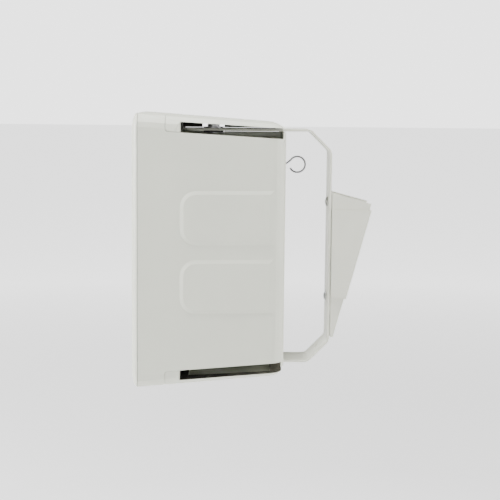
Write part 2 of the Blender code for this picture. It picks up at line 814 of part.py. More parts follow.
def build_safety_eye(parent):
    """Wire eye: a shank through the back wall that opens into a ring."""
    centre_y = HALF_DEPTH + EYE_REACH
    apex_y = HALF_DEPTH + EYE_STEM_END
    reach = centre_y - apex_y
    start = degrees(atan2(EYE_RING_RADIUS, reach)) + 90 + EYE_LEAD
    points = [(0, HALF_DEPTH - EYE_SHANK, EYE_HEIGHT), (0, HALF_DEPTH + EYE_STEM, EYE_HEIGHT)]
    gap = EYE_WIRE + FIT_GAP
    loop = arc((centre_y, EYE_HEIGHT), EYE_RING_RADIUS, start, start - EYE_TURN, 24)
    points += [(0, y, z) for y, z in loop if hypot(y - apex_y, z - EYE_HEIGHT) > 2.5 * gap]
    finish("safety_eye", wire_along(points, EYE_WIRE), zinc(), parent, smooth=True)
    nut_front = REAR_WALL - FIT_GAP
    hex_nut("safety_eye_nut", EYE_WIRE + FIT_GAP, EYE_NUT_RADIUS, 0, EYE_NUT_HEIGHT, parent,
            (0, nut_front, EYE_HEIGHT), (pi / 2, 0, 0))


# Front

def build_grille(parent):
    """Dished steel grille with rolled edges, open at its back."""
    def section(inset, angle):
        y = GRILLE_BACK - (GRILLE_DEPTH - inset) * sin(angle)
        shrink = GRILLE_ROLL * (1 - cos(angle)) + inset
        radius = max(CORNER_RADIUS - inset - 0.3 * GRILLE_ROLL * (1 - cos(angle)), 0.004)
        return upright_ring(FRONT_WIDTH / 2 - shrink, FRONT_HEIGHT / 2 - shrink, radius, y)

    steps = 7
    angles = [pi / 2 * k / steps for k in range(steps + 1)]
    rings = [section(GRILLE_SHEET, angle) for angle in reversed(angles)]
    rings += [section(0, angle) for angle in angles]
    finish("grille", loft(rings), grille_paint(), parent, smooth=True)


def build_grille_cloth(parent):
    front = GRILLE_FRONT + GRILLE_SHEET + FIT_GAP
    shrink = GRILLE_ROLL + GRILLE_SHEET
    outline = rounded_rectangle(FRONT_WIDTH / 2 - shrink, FRONT_HEIGHT / 2 - shrink, CLOTH_CORNER)
    finish("grille_cloth", prism(outline, "Y", front, front + CLOTH), cloth(), parent)


def build_baffle(parent):
    half_width = outer_half_width(BAFFLE_BACK) - WALL - BAFFLE_CLEARANCE
    half_height = outer_half_height(BAFFLE_BACK) - WALL - BAFFLE_CLEARANCE
    outline = rounded_rectangle(half_width, half_height, CORNER_RADIUS - WALL - BAFFLE_CLEARANCE)
    baffle = finish("front_baffle", prism(outline, "Y", SHELL_FRONT, BAFFLE_BACK), black_plastic(), parent)
    forward = (pi / 2, 0, 0)
    thick = BAFFLE_THICKNESS
    cut(baffle, rod(WOOFER_CUTOUT_RADIUS, -thick, 2 * thick), (0, BAFFLE_BACK, -WOOFER_DROP), forward)
    cut(baffle, rod(TWEETER_CUTOUT_RADIUS, -thick, 2 * thick), (0, BAFFLE_BACK, TWEETER_RISE), forward)
    for x, z in post_places():
        cut(baffle, rod(SCREW_RADIUS + FIT_GAP, -thick, 2 * thick, 12), (x, BAFFLE_BACK, z), forward)
        cut(baffle, rod(SCREW_HEAD_RADIUS + FIT_GAP, thick - BAFFLE_SINK, 2 * thick, BORE_STEPS),
            (x, BAFFLE_BACK, z), forward)
    for x, z in woofer_screw_places():
        cut(baffle, rod(SCREW_RADIUS + FIT_GAP, -thick, thick * 0.75, 12), (x, BAFFLE_BACK, z), forward)


def build_baffle_screws(parent):
    head_y = SHELL_FRONT + BAFFLE_SINK
    for index, (x, z) in enumerate(post_places()):
        finish("baffle_screw_" + str(index + 1), turned(screw_profile(BAFFLE_SCREW_LENGTH), 12), zinc(), parent,
               (x, head_y, z), (pi / 2, 0, 0), True)


# Woofer

def woofer_screw_places():
    reach = (WOOFER_FLANGE_RADIUS + WOOFER_CUTOUT_RADIUS) / 2
    places = []
    for k in range(4):
        angle = pi / 4 + pi / 2 * k
        places.append((reach * cos(angle), reach * sin(angle) - WOOFER_DROP))
    return places


def build_woofer(parent, cone_parent):
    """Driver parts about their own axis; z runs forward from the front of the flange."""
    here = (0, DRIVER_FRONT, -WOOFER_DROP)
    forward = (pi / 2, 0, 0)
    seat = -WOOFER_BASKET_DEPTH
    rim = WOOFER_CUTOUT_RADIUS - WOOFER_RIM
    hub = GAP_RADIUS + BASKET_SHEET
    profile = [(rim, 0), (WOOFER_FLANGE_RADIUS, 0), (WOOFER_FLANGE_RADIUS, -WOOFER_FLANGE),
               (WOOFER_CUTOUT_RADIUS, -WOOFER_FLANGE), (MAGNET_RADIUS + BASKET_SHEET, seat), (hub, seat),
               (hub, seat + BASKET_SHEET), (MAGNET_RADIUS, seat + BASKET_SHEET), (rim, -WOOFER_FLANGE)]
    frame = finish("woofer_frame", turned(profile, 28), basket_paint(), parent, here, forward, True)
    half = BASKET_WINDOW_HALF_WIDTH
    for k in range(3):
        window = block((-half, -MAGNET_RADIUS * 2, seat + BASKET_WINDOW_FOOT),
                       (half, MAGNET_RADIUS * 2, -BASKET_WINDOW_HEAD))
        bmesh.ops.rotate(window, verts=window.verts, cent=(0, 0, 0), matrix=Matrix.Rotation(pi / 3 * k, 3, "Z"))
        cut(frame, window, here, forward)
    build_magnet(parent, here, forward, seat)
    build_cone_group(cone_parent, seat)
    for index, (x, z) in enumerate(woofer_screw_places()):
        place = (x, DRIVER_FRONT, z)
        cut(frame, rod(SCREW_RADIUS + FIT_GAP, -0.01, 0.01, 12), place, forward)
        behind = (x, DRIVER_FRONT + WOOFER_FLANGE, z)
        finish("woofer_screw_" + str(index + 1), turned(screw_profile(WOOFER_SCREW_LENGTH), 12), zinc(), parent,
               behind, (-pi / 2, 0, 0), True)


def build_magnet(parent, here, forward, seat):
    """Ring magnet between the top plate and the back plate with its vented pole."""
    plate_high = seat - FIT_GAP
    plate_low = plate_high - TOP_PLATE
    magnet_high = plate_low - FIT_GAP
    magnet_low = magnet_high - MAGNET_HEIGHT
    back_high = magnet_low - FIT_GAP
    back_low = back_high - TOP_PLATE
    plate_radius = MAGNET_RADIUS - PLATE_STEP
    vent = POLE_RADIUS * 0.4
    finish("woofer_top_plate", tube(GAP_RADIUS, plate_radius, plate_low, plate_high), zinc(), parent, here,
           forward, True)
    finish("woofer_magnet", tube(GAP_RADIUS + 2 * PLATE_STEP, MAGNET_RADIUS, magnet_low, magnet_high), ferrite(),
           parent, here, forward, True)
    profile = [(vent, back_low), (plate_radius, back_low), (plate_radius, back_high), (POLE_RADIUS, back_high),
               (POLE_RADIUS, seat), (vent, seat)]
    finish("woofer_back_plate", turned(profile), zinc(), parent, here, forward, True)


def build_cone_group(parent, seat):
    """Cone, dust cap and coil slide together; surround and spider flex between them and the frame."""
    here = (0, 0, 0)
    neck = COIL_RADIUS + CONE_NECK_GAP
    neck_back = -CONE_NECK_DEPTH
    neck_front = neck_back + CONE_PAPER + 0.0001
    profile = [(neck, neck_back), (WOOFER_CONE_RADIUS, 0), (WOOFER_CONE_RADIUS, CONE_PAPER), (neck, neck_front)]
    finish("woofer_cone", turned(profile, 28), cone_paper(), parent, here, smooth=True)
    build_dust_cap(parent, neck, neck_front)
    wound = COIL_RADIUS + COIL_WIRE
    former = COIL_RADIUS + COIL_FORMER
    inside = COIL_RADIUS - FIT_GAP
    low = seat - TOP_PLATE - COIL_BELOW_PLATE
    high = low + COIL_LENGTH
    profile = [(inside, low), (wound, low), (wound, high), (former, high), (former, -COIL_NECK_DEPTH),
               (inside, -COIL_NECK_DEPTH)]
    finish("voice_coil", turned(profile), copper(), parent, here, smooth=True)
    build_surround(parent)
    build_spider(parent, neck, seat + SPIDER_RISE)


def build_dust_cap(parent, neck, neck_front):
    """Shallow dome over the coil, its rim standing on the cone."""
    radius = COIL_RADIUS + DUST_CAP_OVERLAP
    slope = (CONE_PAPER - neck_front) / (WOOFER_CONE_RADIUS - neck)
    rim = neck_front + (radius - neck) * slope + 2 * FIT_GAP
    quarter = [pi / 2 * k / 3 for k in range(4)]
    dome = [(radius * cos(a), rim + DUST_CAP_RISE * sin(a)) for a in quarter]
    under = [((radius - DUST_CAP_PAPER) * cos(a), rim + (DUST_CAP_RISE - DUST_CAP_PAPER) * sin(a))
             for a in reversed(quarter)]
    finish("dust_cap", turned(dome + under, 20), cone_paper(), parent, smooth=True)


def build_surround(parent):
    """Half roll of rubber from the cone's edge to the inside of the frame's rim."""
    inner = WOOFER_CONE_RADIUS
    outer = WOOFER_CUTOUT_RADIUS - SURROUND_LIP / 2
    middle = (inner + outer) / 2
    half = (outer - inner) / 2 - SURROUND_LIP
    low = SURROUND_SEAT
    high = low + SURROUND_RUBBER
    angles = [pi * k / 5 for k in range(6)]
    over = [(middle - half * cos(a), high + half * sin(a)) for a in angles]
    bend = half - SURROUND_RUBBER
    below = [(middle + bend * cos(a), low + bend * sin(a)) for a in angles]
    profile = [(inner - SURROUND_LIP, low), (inner - SURROUND_LIP, high)] + over
    profile += [(outer, high), (outer, low)] + below
    finish("woofer_surround", turned(profile), soft_rubber(), parent, smooth=True)


def build_spider(parent, neck, height):
    """Corrugated cloth disc from the coil's neck to the frame."""
    start = neck + SURROUND_LIP
    end = MAGNET_RADIUS - 0.004
    steps = 2 * SPIDER_WAVES
    top = [(neck + COIL_FORMER, height)]
    for k in range(steps + 1):
        share = k / steps
        wave = SPIDER_WAVE_HEIGHT if k % 2 else 0
        top.append((start + (end - start) * share, height + wave - SPIDER_DROP * share))
    low = [(r, z - SPIDER_CLOTH) for r, z in reversed(top)]
    finish("spider", turned(top + low, 20), spider_cloth(), parent, smooth=True)


# Tweeter

def build_tweeter(parent, dome_parent):
    """Faceplate with its short horn, ring magnet behind it, and the dome in the throat; z runs forward."""
    here = (0, DRIVER_FRONT, TWEETER_RISE)
    forward = (pi / 2, 0, 0)
    back = -TWEETER_PLATE_DEPTH
    mouth = TWEETER_CUTOUT_RADIUS - TWEETER_FLANGE
    throat = DOME_RADIUS + 0.002
    angles = [pi / 2 * k / 4 for k in range(5)]
    horn = [(throat + (mouth - throat) * sin(a), -HORN_DEPTH * cos(a)) for a in angles]
    wall = mouth - TWEETER_WALL
    profile = [(TWEETER_RADIUS, 0), (TWEETER_RADIUS, -TWEETER_FLANGE), (wall + 0.002, -TWEETER_FLANGE),
               (wall, back), (throat, back)] + horn
    finish("tweeter_faceplate", turned(profile, 28), black_plastic(), parent, here, forward, True)
    low = back - FIT_GAP
    magnet = tube(TWEETER_VENT_RADIUS, TWEETER_MAGNET_RADIUS, low - TWEETER_MAGNET_HEIGHT, low)
    finish("tweeter_magnet", magnet, ferrite(), parent, here, forward, True)
    quarter = [pi / 2 * k / 3 for k in range(4)]
    dome = [(DOME_RADIUS * cos(a), -DOME_SEAT + DOME_RISE * sin(a)) for a in quarter]
    under = [(max(r - DOME_SKIN, 0), z - DOME_SKIN) for r, z in reversed(dome)]
    finish("tweeter_dome", turned(dome + under, 20), cone_paper(), dome_parent, smooth=True)


# Terminal cup and tap switch

def build_cup(parent):
    """Dished cup behind the window in the back wall, with its flange inside the wall."""
    def ring(shrink, corner, y):
        outline = rounded_rectangle(CUP_HALF_WIDTH - shrink, CUP_HALF_HEIGHT - shrink, corner, 3)
        return [(x, y, z - CUP_DROP) for x, z in outline]

    flange_back = REAR_WALL - FIT_GAP
    flange_front = flange_back - CUP_WALL
    floor = flange_back - CUP_DEPTH
    outside = CUP_TAPER
    inside = outside + CUP_WALL
    flange = outside - CUP_FLANGE
    rings = [ring(inside + CUP_TAPER, CUP_CORNER - 2 * CUP_TAPER, floor + CUP_WALL),
             ring(inside, CUP_CORNER - CUP_TAPER, flange_back),
             ring(flange, CUP_CORNER + CUP_WALL, flange_back),
             ring(flange, CUP_CORNER + CUP_WALL, flange_front),
             ring(outside, CUP_CORNER, flange_front),
             ring(outside + CUP_TAPER, CUP_CORNER - CUP_TAPER, floor)]
    cup = finish("terminal_cup", loft(rings), black_plastic(), parent)
    cut(cup, rod(SHAFT_RADIUS + 2 * FIT_GAP, -0.01, 0.01, BORE_STEPS), (-KNOB_X, floor, -CUP_DROP),
        (pi / 2, 0, 0))
    return floor


def build_tap_switch(parent, knob_parent, floor):
    """Rotary tap selector: body behind the cup, shaft through it and knob in the cup; z runs to the back."""
    here = (-KNOB_X, floor, -CUP_DROP)
    low = -FIT_GAP - SWITCH_DEPTH
    bore = SHAFT_RADIUS + FIT_GAP
    finish("tap_switch_body", tube(bore, SWITCH_RADIUS, low, -FIT_GAP), black_plastic(), parent, here,
           (-pi / 2, 0, 0), True)
    shaft_top = CUP_WALL + SHAFT_LENGTH
    finish("tap_switch_shaft", rod(SHAFT_RADIUS, low, shaft_top, BORE_STEPS), zinc(), knob_parent, smooth=True)
    bottom = CUP_WALL + KNOB_CHAMFER
    top = bottom + KNOB_HEIGHT
    skirt = bottom + KNOB_SKIRT
    grip = KNOB_RADIUS - KNOB_TAPER
    socket = shaft_top + FIT_GAP
    profile = [(bore, bottom), (KNOB_RADIUS, bottom), (KNOB_RADIUS, skirt), (grip + KNOB_CHAMFER, skirt + 0.0005),
               (grip, top - KNOB_CHAMFER), (grip - KNOB_CHAMFER, top), (0, top), (0, socket), (bore, socket)]
    knob = finish("tap_knob", turned(profile), black_plastic(), knob_parent, smooth=True)
    half = KNOB_POINTER
    cut(knob, block((-half, KNOB_RADIUS / 3, top - KNOB_CHAMFER), (half, 2 * KNOB_RADIUS, top + KNOB_HEIGHT)))


def build_terminal_block(parent, floor):
    """Screw terminals in a row beside the knob."""
    low = floor + CUP_WALL + FIT_GAP
    high = low + TERMINAL_DEPTH
    x = KNOB_X - 0.001
    wide = TERMINAL_HALF_WIDTH
    tall = TERMINAL_HALF_HEIGHT
    body = block((x - wide, low, -CUP_DROP - tall), (x + wide, high, -CUP_DROP + tall))
    terminals = finish("terminal_block", body, black_plastic(), parent)
    for k in range(TERMINAL_COUNT):
        place = (x + (k - (TERMINAL_COUNT - 1) / 2) * TERMINAL_PITCH, high, -CUP_DROP)
        cut(terminals, rod(TERMINAL_HOLE_RADIUS, -0.004, 0.004, 12), place, (pi / 2, 0, 0))


# Electrics inside

def build_transformer(parent):
    """Laminated core standing on the back wall, and the winding round its middle leg."""
    here = (0, REAR_WALL - FIT_GAP - CORE_DEPTH / 2, TRANSFORMER_RISE)
    half = (CORE_STACK / 2, CORE_DEPTH / 2, CORE_HEIGHT / 2)
    core = finish("transformer_core", block([-size for size in half], half), lamination_steel(), parent, here)
    leg = CORE_LEG / 2
    window = CORE_WINDOW_HEIGHT / 2
    for side in (1, -1):
        near, far = sorted((side * leg, side * (leg + CORE_WINDOW_DEPTH)))
        cut(core, block((-CORE_STACK, near, -window), (CORE_STACK, far, window)), here)
    inner_x = CORE_STACK / 2 + FIT_GAP
    inner_y = leg + FIT_GAP
    outer_x = inner_x + WINDING_BULGE
    outer_y = leg + CORE_WINDOW_DEPTH - FIT_GAP
    tall = window - FIT_GAP
    winding = finish("transformer_winding", block((-outer_x, -outer_y, -tall), (outer_x, outer_y, tall)), copper(),
                     parent, here)
    cut(winding, block((-inner_x, -inner_y, -CORE_HEIGHT), (inner_x, inner_y, CORE_HEIGHT)), here)


def build_crossover(parent):
    """Board on its standoffs with a choke and a capacitor on its front face."""
    back = REAR_WALL - STANDOFF - FIT_GAP
    front = back - BOARD_THICKNESS
    board = finish("crossover_board", block((-BOARD_HALF_WIDTH, front, -BOARD_DROP - BOARD_HALF_HEIGHT),
                                            (BOARD_HALF_WIDTH, back, -BOARD_DROP + BOARD_HALF_HEIGHT)),
                   board_green(), parent)
    forward = (pi / 2, 0, 0)
    for x, z in standoff_places():
        cut(board, rod(BOARD_HOLE_RADIUS, -0.01, 0.01, 12), (x, front, z), forward)
    rest = front - FIT_GAP
    finish("crossover_choke", tube(CHOKE_INNER_RADIUS, CHOKE_RADIUS, 0, CHOKE_HEIGHT), copper(), parent,
           (-CHOKE_X, rest, -BOARD_DROP), forward, True)
    half = CAPACITOR_LENGTH / 2
    finish("crossover_capacitor", rod(CAPACITOR_RADIUS, -half, half, 20), black_plastic(), parent,
           (CAPACITOR_X, rest - CAPACITOR_RADIUS, -BOARD_DROP), (0, pi / 2, 0), True)


def build_felt(parent):
    """A felt pad along the inside of each side wall."""
    front, back = -FELT_FRONT, FELT_BACK
    near = outer_half_width(front) - WALL - PART_GAP
    far = outer_half_width(back) - WALL - PART_GAP
    for name, side in (("left", -1), ("right", 1)):
        outline = [(side * near, front), (side * far, back), (side * (far - FELT_THICKNESS), back),
                   (side * (near - FELT_THICKNESS), front)]
        finish("felt_pad_" + name, prism(outline, "Z", -FELT_HALF_HEIGHT, FELT_HALF_HEIGHT), felt_grey(), parent)


# Yoke and wedge

def yoke_centre_line():
    """Middle of the bar in the YZ plane, from the end of the upper arm round to the end of the lower one."""
    turn = YOKE_BEND_RADIUS
    first_y = ARM_STRAIGHT_END
    points = [(-ARM_FRONT, ARM_MIDDLE)]
    points += arc((first_y, ARM_MIDDLE - turn), turn, 90, 45, 4)
    last_z = ARM_MIDDLE - YOKE_CHAMFER - BEND_TANGENT
    points += arc((YOKE_REACH - turn, last_z), turn, 45, 0, 4)
    return points + [(y, -z) for y, z in reversed(points)]


def offset_line(points, distance):
    """Move a polyline sideways, mitred at each point."""
    moved = []
    count = len(points)
    for index in range(count):
        here = Vector(points[index])
        before = Vector(points[max(index - 1, 0)])
        after = Vector(points[min(index + 1, count - 1)])
        ways = [way.normalized() for way in (here - before, after - here) if way.length > 0]
        normals = [Vector((-way.y, way.x)) for way in ways]
        middle = sum(normals, Vector((0, 0))).normalized()
        moved.append(tuple(here + middle * distance / middle.dot(normals[0])))
    return moved


def build_yoke(parent):
    line = yoke_centre_line()
    outer = offset_line(line, YOKE_THICKNESS / 2)
    inner = offset_line(line, -YOKE_THICKNESS / 2)
    half = YOKE_WIDTH / 2
    yoke = finish("yoke", prism(outer + list(reversed(inner)), "X", -half, half), bracket_paint(), parent)
    for side in (1, -1):
        low, high = sorted((side * (ARM_BOTTOM - WALL), side * (ARM_TOP + WALL)))
        for hand in (1, -1):
            cut(yoke, prism(tip_outline(hand), "Z", low, high))
        cut(yoke, rod(PIVOT_RADIUS + 2 * FIT_GAP, low, high))
        middle_y = YOKE_REACH - YOKE_CHAMFER / 2
        middle_z = side * (ARM_MIDDLE - YOKE_CHAMFER / 2)
        cut(yoke, rod(YOKE_HOLE_RADIUS, -0.01, 0.01, BORE_STEPS), (0, middle_y, middle_z), (side * -pi / 4, 0, 0))
    for z in (UPPER_BOLT_Z, LOWER_BOLT_Z):
        cut(yoke, rod(BOLT_RADIUS + FIT_GAP, -0.01, 0.01, BORE_STEPS), (0, YOKE_REACH, z), (pi / 2, 0, 0))


def tip_outline(hand):
    """What is cut off one corner of an arm's front end to round it."""
    centre = (hand * (YOKE_WIDTH / 2 - ARM_CORNER), -ARM_FRONT + ARM_CORNER)
    start = 270 if hand > 0 else 180
    quarter = arc(centre, ARM_CORNER, start, start + 90, 4)
    beyond = (hand * (YOKE_WIDTH / 2 + ARM_CORNER), -ARM_FRONT - ARM_CORNER)
    first, last = quarter[0], quarter[-1]
    if hand > 0:
        return quarter + [(beyond[0], last[1]), beyond, (first[0], beyond[1])]
    return quarter + [(last[0], beyond[1]), beyond, (beyond[0], first[1])]


def wall_line(z, offset=0.0):
    """Y of the wedge's wall face at height z, moved towards the yoke by offset."""
    return WALL_PLATE_TOP_Y - (WALL_PLATE_TOP - z) * tan(WEDGE_ANGLE) - offset / cos(WEDGE_ANGLE)


def folded_sheet(name, cheek, hollow, half_width, parent):
    """Solid of a cheek's side view, hollowed to leave a web and two cheeks."""
    channel = finish(name, prism(cheek, "X", -half_width, half_width), bracket_paint(), parent)
    inside = half_width - SHEET
    cut(channel, prism(hollow, "X", -inside, inside))
    return channel


def build_yoke_channel(parent):
    """Inner channel of the wedge: its web lies on the yoke and its cheeks run back to the wall plate."""
    offset = SHEET + FIT_GAP
    top_slope = tan(WEDGE_ANGLE)
    top_back_y = wall_line(CHANNEL_TOP, offset)
    run = (top_back_y - CHANNEL_BACK) / (1 + top_slope * top_slope)
    cheek = [(CHANNEL_BACK, CHANNEL_TOP), (CHANNEL_BACK, CHANNEL_BOTTOM),
             (wall_line(CHANNEL_BOTTOM, offset), CHANNEL_BOTTOM),
             (CHANNEL_BACK + run, CHANNEL_TOP - run * top_slope)]
    web = CHANNEL_BACK + SHEET
    far = WALL_PLATE_TOP_Y + 0.1
    hollow = [(web, CHANNEL_BOTTOM - 0.05), (far, CHANNEL_BOTTOM - 0.05), (far, CHANNEL_TOP + 0.05),
              (web, CHANNEL_TOP + 0.05)]
    channel = folded_sheet("yoke_channel", cheek, hollow, YOKE_WIDTH / 2, parent)
    round_long_edges(channel, CHANNEL_BACK)
    for z in (UPPER_BOLT_Z, LOWER_BOLT_Z):
        cut(channel, rod(BOLT_RADIUS + FIT_GAP, -0.01, 0.01, BORE_STEPS), (0, CHANNEL_BACK, z), (pi / 2, 0, 0))


def round_long_edges(channel, y):
    """Bevel the two folds between web and cheeks, on the outside."""
    bm = bmesh.new()
    bm.from_mesh(channel.data)
    half = max(vert.co.x for vert in bm.verts)
    folds = []
    for edge in bm.edges:
        ends = [vert.co for vert in edge.verts]
        on_side = all(abs(abs(end.x) - half) < 1e-5 for end in ends)
        on_web = all(abs(end.y - y) < 1e-5 for end in ends)
        if on_side and on_web:
            folds.append(edge)
    bmesh.ops.bevel(bm, geom=folds, offset=SHEET_BEND, segments=3, profile=0.5, affect="EDGES")
    bm.to_mesh(channel.data)
    bm.free()


def build_wall_channel(parent):
    """Outer channel of the wedge: its web is the sloping wall plate and its cheeks lap the inner ones."""
    half = YOKE_WIDTH / 2 + FIT_GAP + SHEET
    free_edge = YOKE_BACK + CHEEK_GAP
    low_z = WALL_PLATE_TOP - WALL_PLATE_LENGTH * cos(WEDGE_ANGLE)
    low_y = wall_line(low_z)
    cheek = [(free_edge, WALL_PLATE_TOP), (free_edge, low_z + (low_y - free_edge) * tan(WEDGE_ANGLE)),
             (low_y, low_z), (WALL_PLATE_TOP_Y, WALL_PLATE_TOP)]
    above = WALL_PLATE_TOP + 0.05
    below = low_z - 0.05
    near = YOKE_INNER - 0.05
    hollow = [(near, below), (wall_line(below, SHEET), below), (wall_line(above, SHEET), above), (near, above)]
    channel = folded_sheet("wall_channel", cheek, hollow, half, parent)
    across = (Matrix.Rotation(-WEDGE_ANGLE, 4, "X") @ Matrix.Rotation(pi / 2, 4, "X")).to_euler()
    for sign_x in (1, -1):
        for sign_z in (1, -1):
            along = sign_z * WALL_HOLE_Z
            place = (sign_x * WALL_HOLE_X, WALL_FACE_Y + along * sin(WEDGE_ANGLE),
                     WALL_FACE_Z + along * cos(WEDGE_ANGLE))
            cut(channel, rod(WALL_HOLE_RADIUS, -0.01, 0.01, BORE_STEPS), place, across)


def build_wedge_bolts(parent):
    """Bolts with low round heads inside the yoke, and their nuts inside the wedge; z runs to the wall."""
    backward = (-pi / 2, 0, 0)
    nut_low = YOKE_THICKNESS + FIT_GAP + SHEET + FIT_GAP
    nut_high = nut_low + NUT_HEIGHT
    tip = nut_high + NUT_OVERRUN
    socket = BOLT_RADIUS * 0.75
    crown_top = -FIT_GAP - BOLT_HEAD_HEIGHT
    crown = [(BOLT_HEAD_RADIUS * cos(pi / 2 * k / 5), -FIT_GAP - BOLT_HEAD_HEIGHT * sin(pi / 2 * k / 5))
             for k in range(5)]
    profile = [(0, tip), (BOLT_RADIUS, tip), (BOLT_RADIUS, -FIT_GAP)] + crown
    profile += [(socket, crown_top), (socket, crown_top + SOCKET_DEPTH), (0, crown_top + SOCKET_DEPTH)]
    for name, height in (("upper", UPPER_BOLT_Z), ("lower", LOWER_BOLT_Z)):
        here = (0, YOKE_INNER, height)
        finish("wedge_bolt_" + name, turned(profile, 20), zinc(), parent, here, backward, True)
        hex_nut("wedge_nut_" + name, BOLT_RADIUS + FIT_GAP, NUT_RADIUS, nut_low, nut_high, parent, here,
                backward)


def build_bracket():
    parent = empty("bracket_frame", (0, -WALL_FACE_Y, -WALL_FACE_Z))
    build_yoke(parent)
    build_yoke_channel(parent)
    build_wall_channel(parent)
    build_wedge_bolts(parent)


def build_cabinet():
    pan = empty("pan_axis", (0, -WALL_FACE_Y, -WALL_FACE_Z))
    shell = build_shell(pan)
    cut_cover_screw_holes(shell)
    add_side_fields(shell)
    for name, side in (("upper", 1), ("lower", -1)):
        build_cover(name + "_channel_cover", side, pan)
        build_pivot(side, name, pan)
        build_cover_screw(name + "_cover_screw", side, pan)
    build_safety_eye(pan)
    build_grille(pan)
    build_grille_cloth(pan)
    build_baffle(pan)
    build_baffle_screws(pan)
    cone_axis = empty("woofer_axis", (0, DRIVER_FRONT, -WOOFER_DROP), (pi / 2, 0, 0), pan)
    build_woofer(pan, cone_axis)
    dome_axis = empty("tweeter_axis", (0, DRIVER_FRONT, TWEETER_RISE), (pi / 2, 0, 0), pan)
    build_tweeter(pan, dome_axis)
    floor = build_cup(pan)
    knob_axis = empty("tap_axis", (-KNOB_X, floor, -CUP_DROP), (-pi / 2, 0, 0), pan)
    build_tap_switch(pan, knob_axis, floor)
    build_terminal_block(pan, floor)
    build_transformer(pan)
    build_crossover(pan)
    build_felt(pan)


def main():
    remove_everything()
    build_bracket()
    build_cabinet()


main()
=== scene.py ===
import json
from math import cos, pi, radians, sin, sqrt, tan

import bpy
from bpy.props import FloatProperty, FloatVectorProperty, IntProperty, PointerProperty
from mathutils import Matrix, Vector

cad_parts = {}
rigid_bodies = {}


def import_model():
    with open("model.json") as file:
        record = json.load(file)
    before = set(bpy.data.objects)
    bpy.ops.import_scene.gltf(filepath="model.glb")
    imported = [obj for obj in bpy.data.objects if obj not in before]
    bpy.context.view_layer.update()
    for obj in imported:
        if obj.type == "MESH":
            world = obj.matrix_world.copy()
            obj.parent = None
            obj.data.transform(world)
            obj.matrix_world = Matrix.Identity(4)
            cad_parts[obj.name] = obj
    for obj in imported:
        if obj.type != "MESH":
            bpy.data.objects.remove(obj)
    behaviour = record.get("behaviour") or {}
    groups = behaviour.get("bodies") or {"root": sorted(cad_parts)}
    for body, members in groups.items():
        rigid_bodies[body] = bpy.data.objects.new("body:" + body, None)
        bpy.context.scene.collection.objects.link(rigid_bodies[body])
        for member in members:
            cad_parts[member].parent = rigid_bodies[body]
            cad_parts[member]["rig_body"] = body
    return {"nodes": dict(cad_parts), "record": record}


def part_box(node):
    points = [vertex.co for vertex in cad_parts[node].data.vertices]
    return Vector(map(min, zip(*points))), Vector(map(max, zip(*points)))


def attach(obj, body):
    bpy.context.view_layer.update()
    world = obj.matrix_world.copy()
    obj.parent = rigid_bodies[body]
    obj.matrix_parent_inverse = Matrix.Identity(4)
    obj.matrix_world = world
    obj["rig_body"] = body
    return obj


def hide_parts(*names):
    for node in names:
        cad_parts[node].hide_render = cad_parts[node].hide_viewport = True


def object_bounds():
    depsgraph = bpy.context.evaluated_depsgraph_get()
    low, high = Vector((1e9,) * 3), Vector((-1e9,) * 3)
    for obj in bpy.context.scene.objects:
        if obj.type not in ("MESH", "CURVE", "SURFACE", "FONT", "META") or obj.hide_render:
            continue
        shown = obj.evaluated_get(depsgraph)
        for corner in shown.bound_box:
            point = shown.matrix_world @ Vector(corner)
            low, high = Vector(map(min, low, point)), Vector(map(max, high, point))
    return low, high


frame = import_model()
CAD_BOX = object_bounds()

bl_info = {
    "name": "Wall loudspeaker on a yoke bracket",
    "version": (1, 0, 0),
    "blender": (4, 5, 0),
    "location": "View3D > Sidebar > Loudspeaker",
    "description": "Builds a moulded wall loudspeaker, its grille, swivel yoke and wall wedge",
    "category": "Add Mesh",
}

MM = 0.001
MERGE = 1e-6  # corners nearer than this are one corner
RECORD_COLOURS = {entry["slot"]: tuple(entry["base_color"]) for entry in frame["record"]["materials"]}
WARMTH = (1.0, 1.01, 0.93)  # red, green and blue of aged paint and plastic, against the record's
GRILLE_SHADE = 0.84  # the grille's paint against the record's
WAVE_STEP = 2 * pi / 20  # a wave texture's scale for bands one metre apart
MIX_DARK, MIX_LIGHT, MIX_COLOUR = 6, 7, 2  # colour sockets of the Mix node

FLAT_ANGLE = radians(0.5)  # neighbouring faces nearer to flat than this are joined
BROKEN_ANGLE = radians(40)  # edges sharper than this are broken
FLAT_WEIGHT = 80  # how strongly large faces hold their shading flat

FIELD_ANGLES = radians(12), radians(24)  # folds at the edges of the shell's raised fields
FIELD_ROUNDING = 1.1 * MM
SIDE_SHARE = 0.7  # share of the half width past which an edge lies on the shell's side

SHELL_SLOPE = radians(3.9)  # how the shell's top and bottom close in towards the back
SIDE_DRAFT = 0.1  # how much narrower a cover gets over its depth
CHANNEL_LEAD = 2 * MM  # how far a channel runs on before the arm's end
CHANNEL_ABOVE = 7.5 * MM
CHANNEL_BELOW = 4 * MM
CHANNEL_HALF_WIDTH = 60 * MM
SIDE_WALL = 4 * MM
OUTER_SKIN = 2 * MM
BACK_EDGE = 1 * MM

ROLL_STEPS = 12
CORNER_STEPS = 12
HOLE_CORNERS = 12
CELL_MERGE = 0.02 * MM
FIELD_THINNING = 0.8  # thickness of the perforated sheet against the rim's

DRILL_SIDES = 40
FOLD_STEPS = 10
TIP_STEPS = 10
CHORD_SHIFT = 2.07 * MM  # from the corner's chord to the middle of its chamfer, in y and in z
PIVOT_HOLE = 4.3 * MM
BOLT_HOLE = 3.3 * MM
BOX_SLACK = 0.1 * MM

HORIZON_LOW, HORIZON_HIGH = radians(5.5), radians(12)  # between these the glow fades into the sky's
HORIZON_LIFT = 0.9  # how much stronger the horizon glows than the floor's far edge


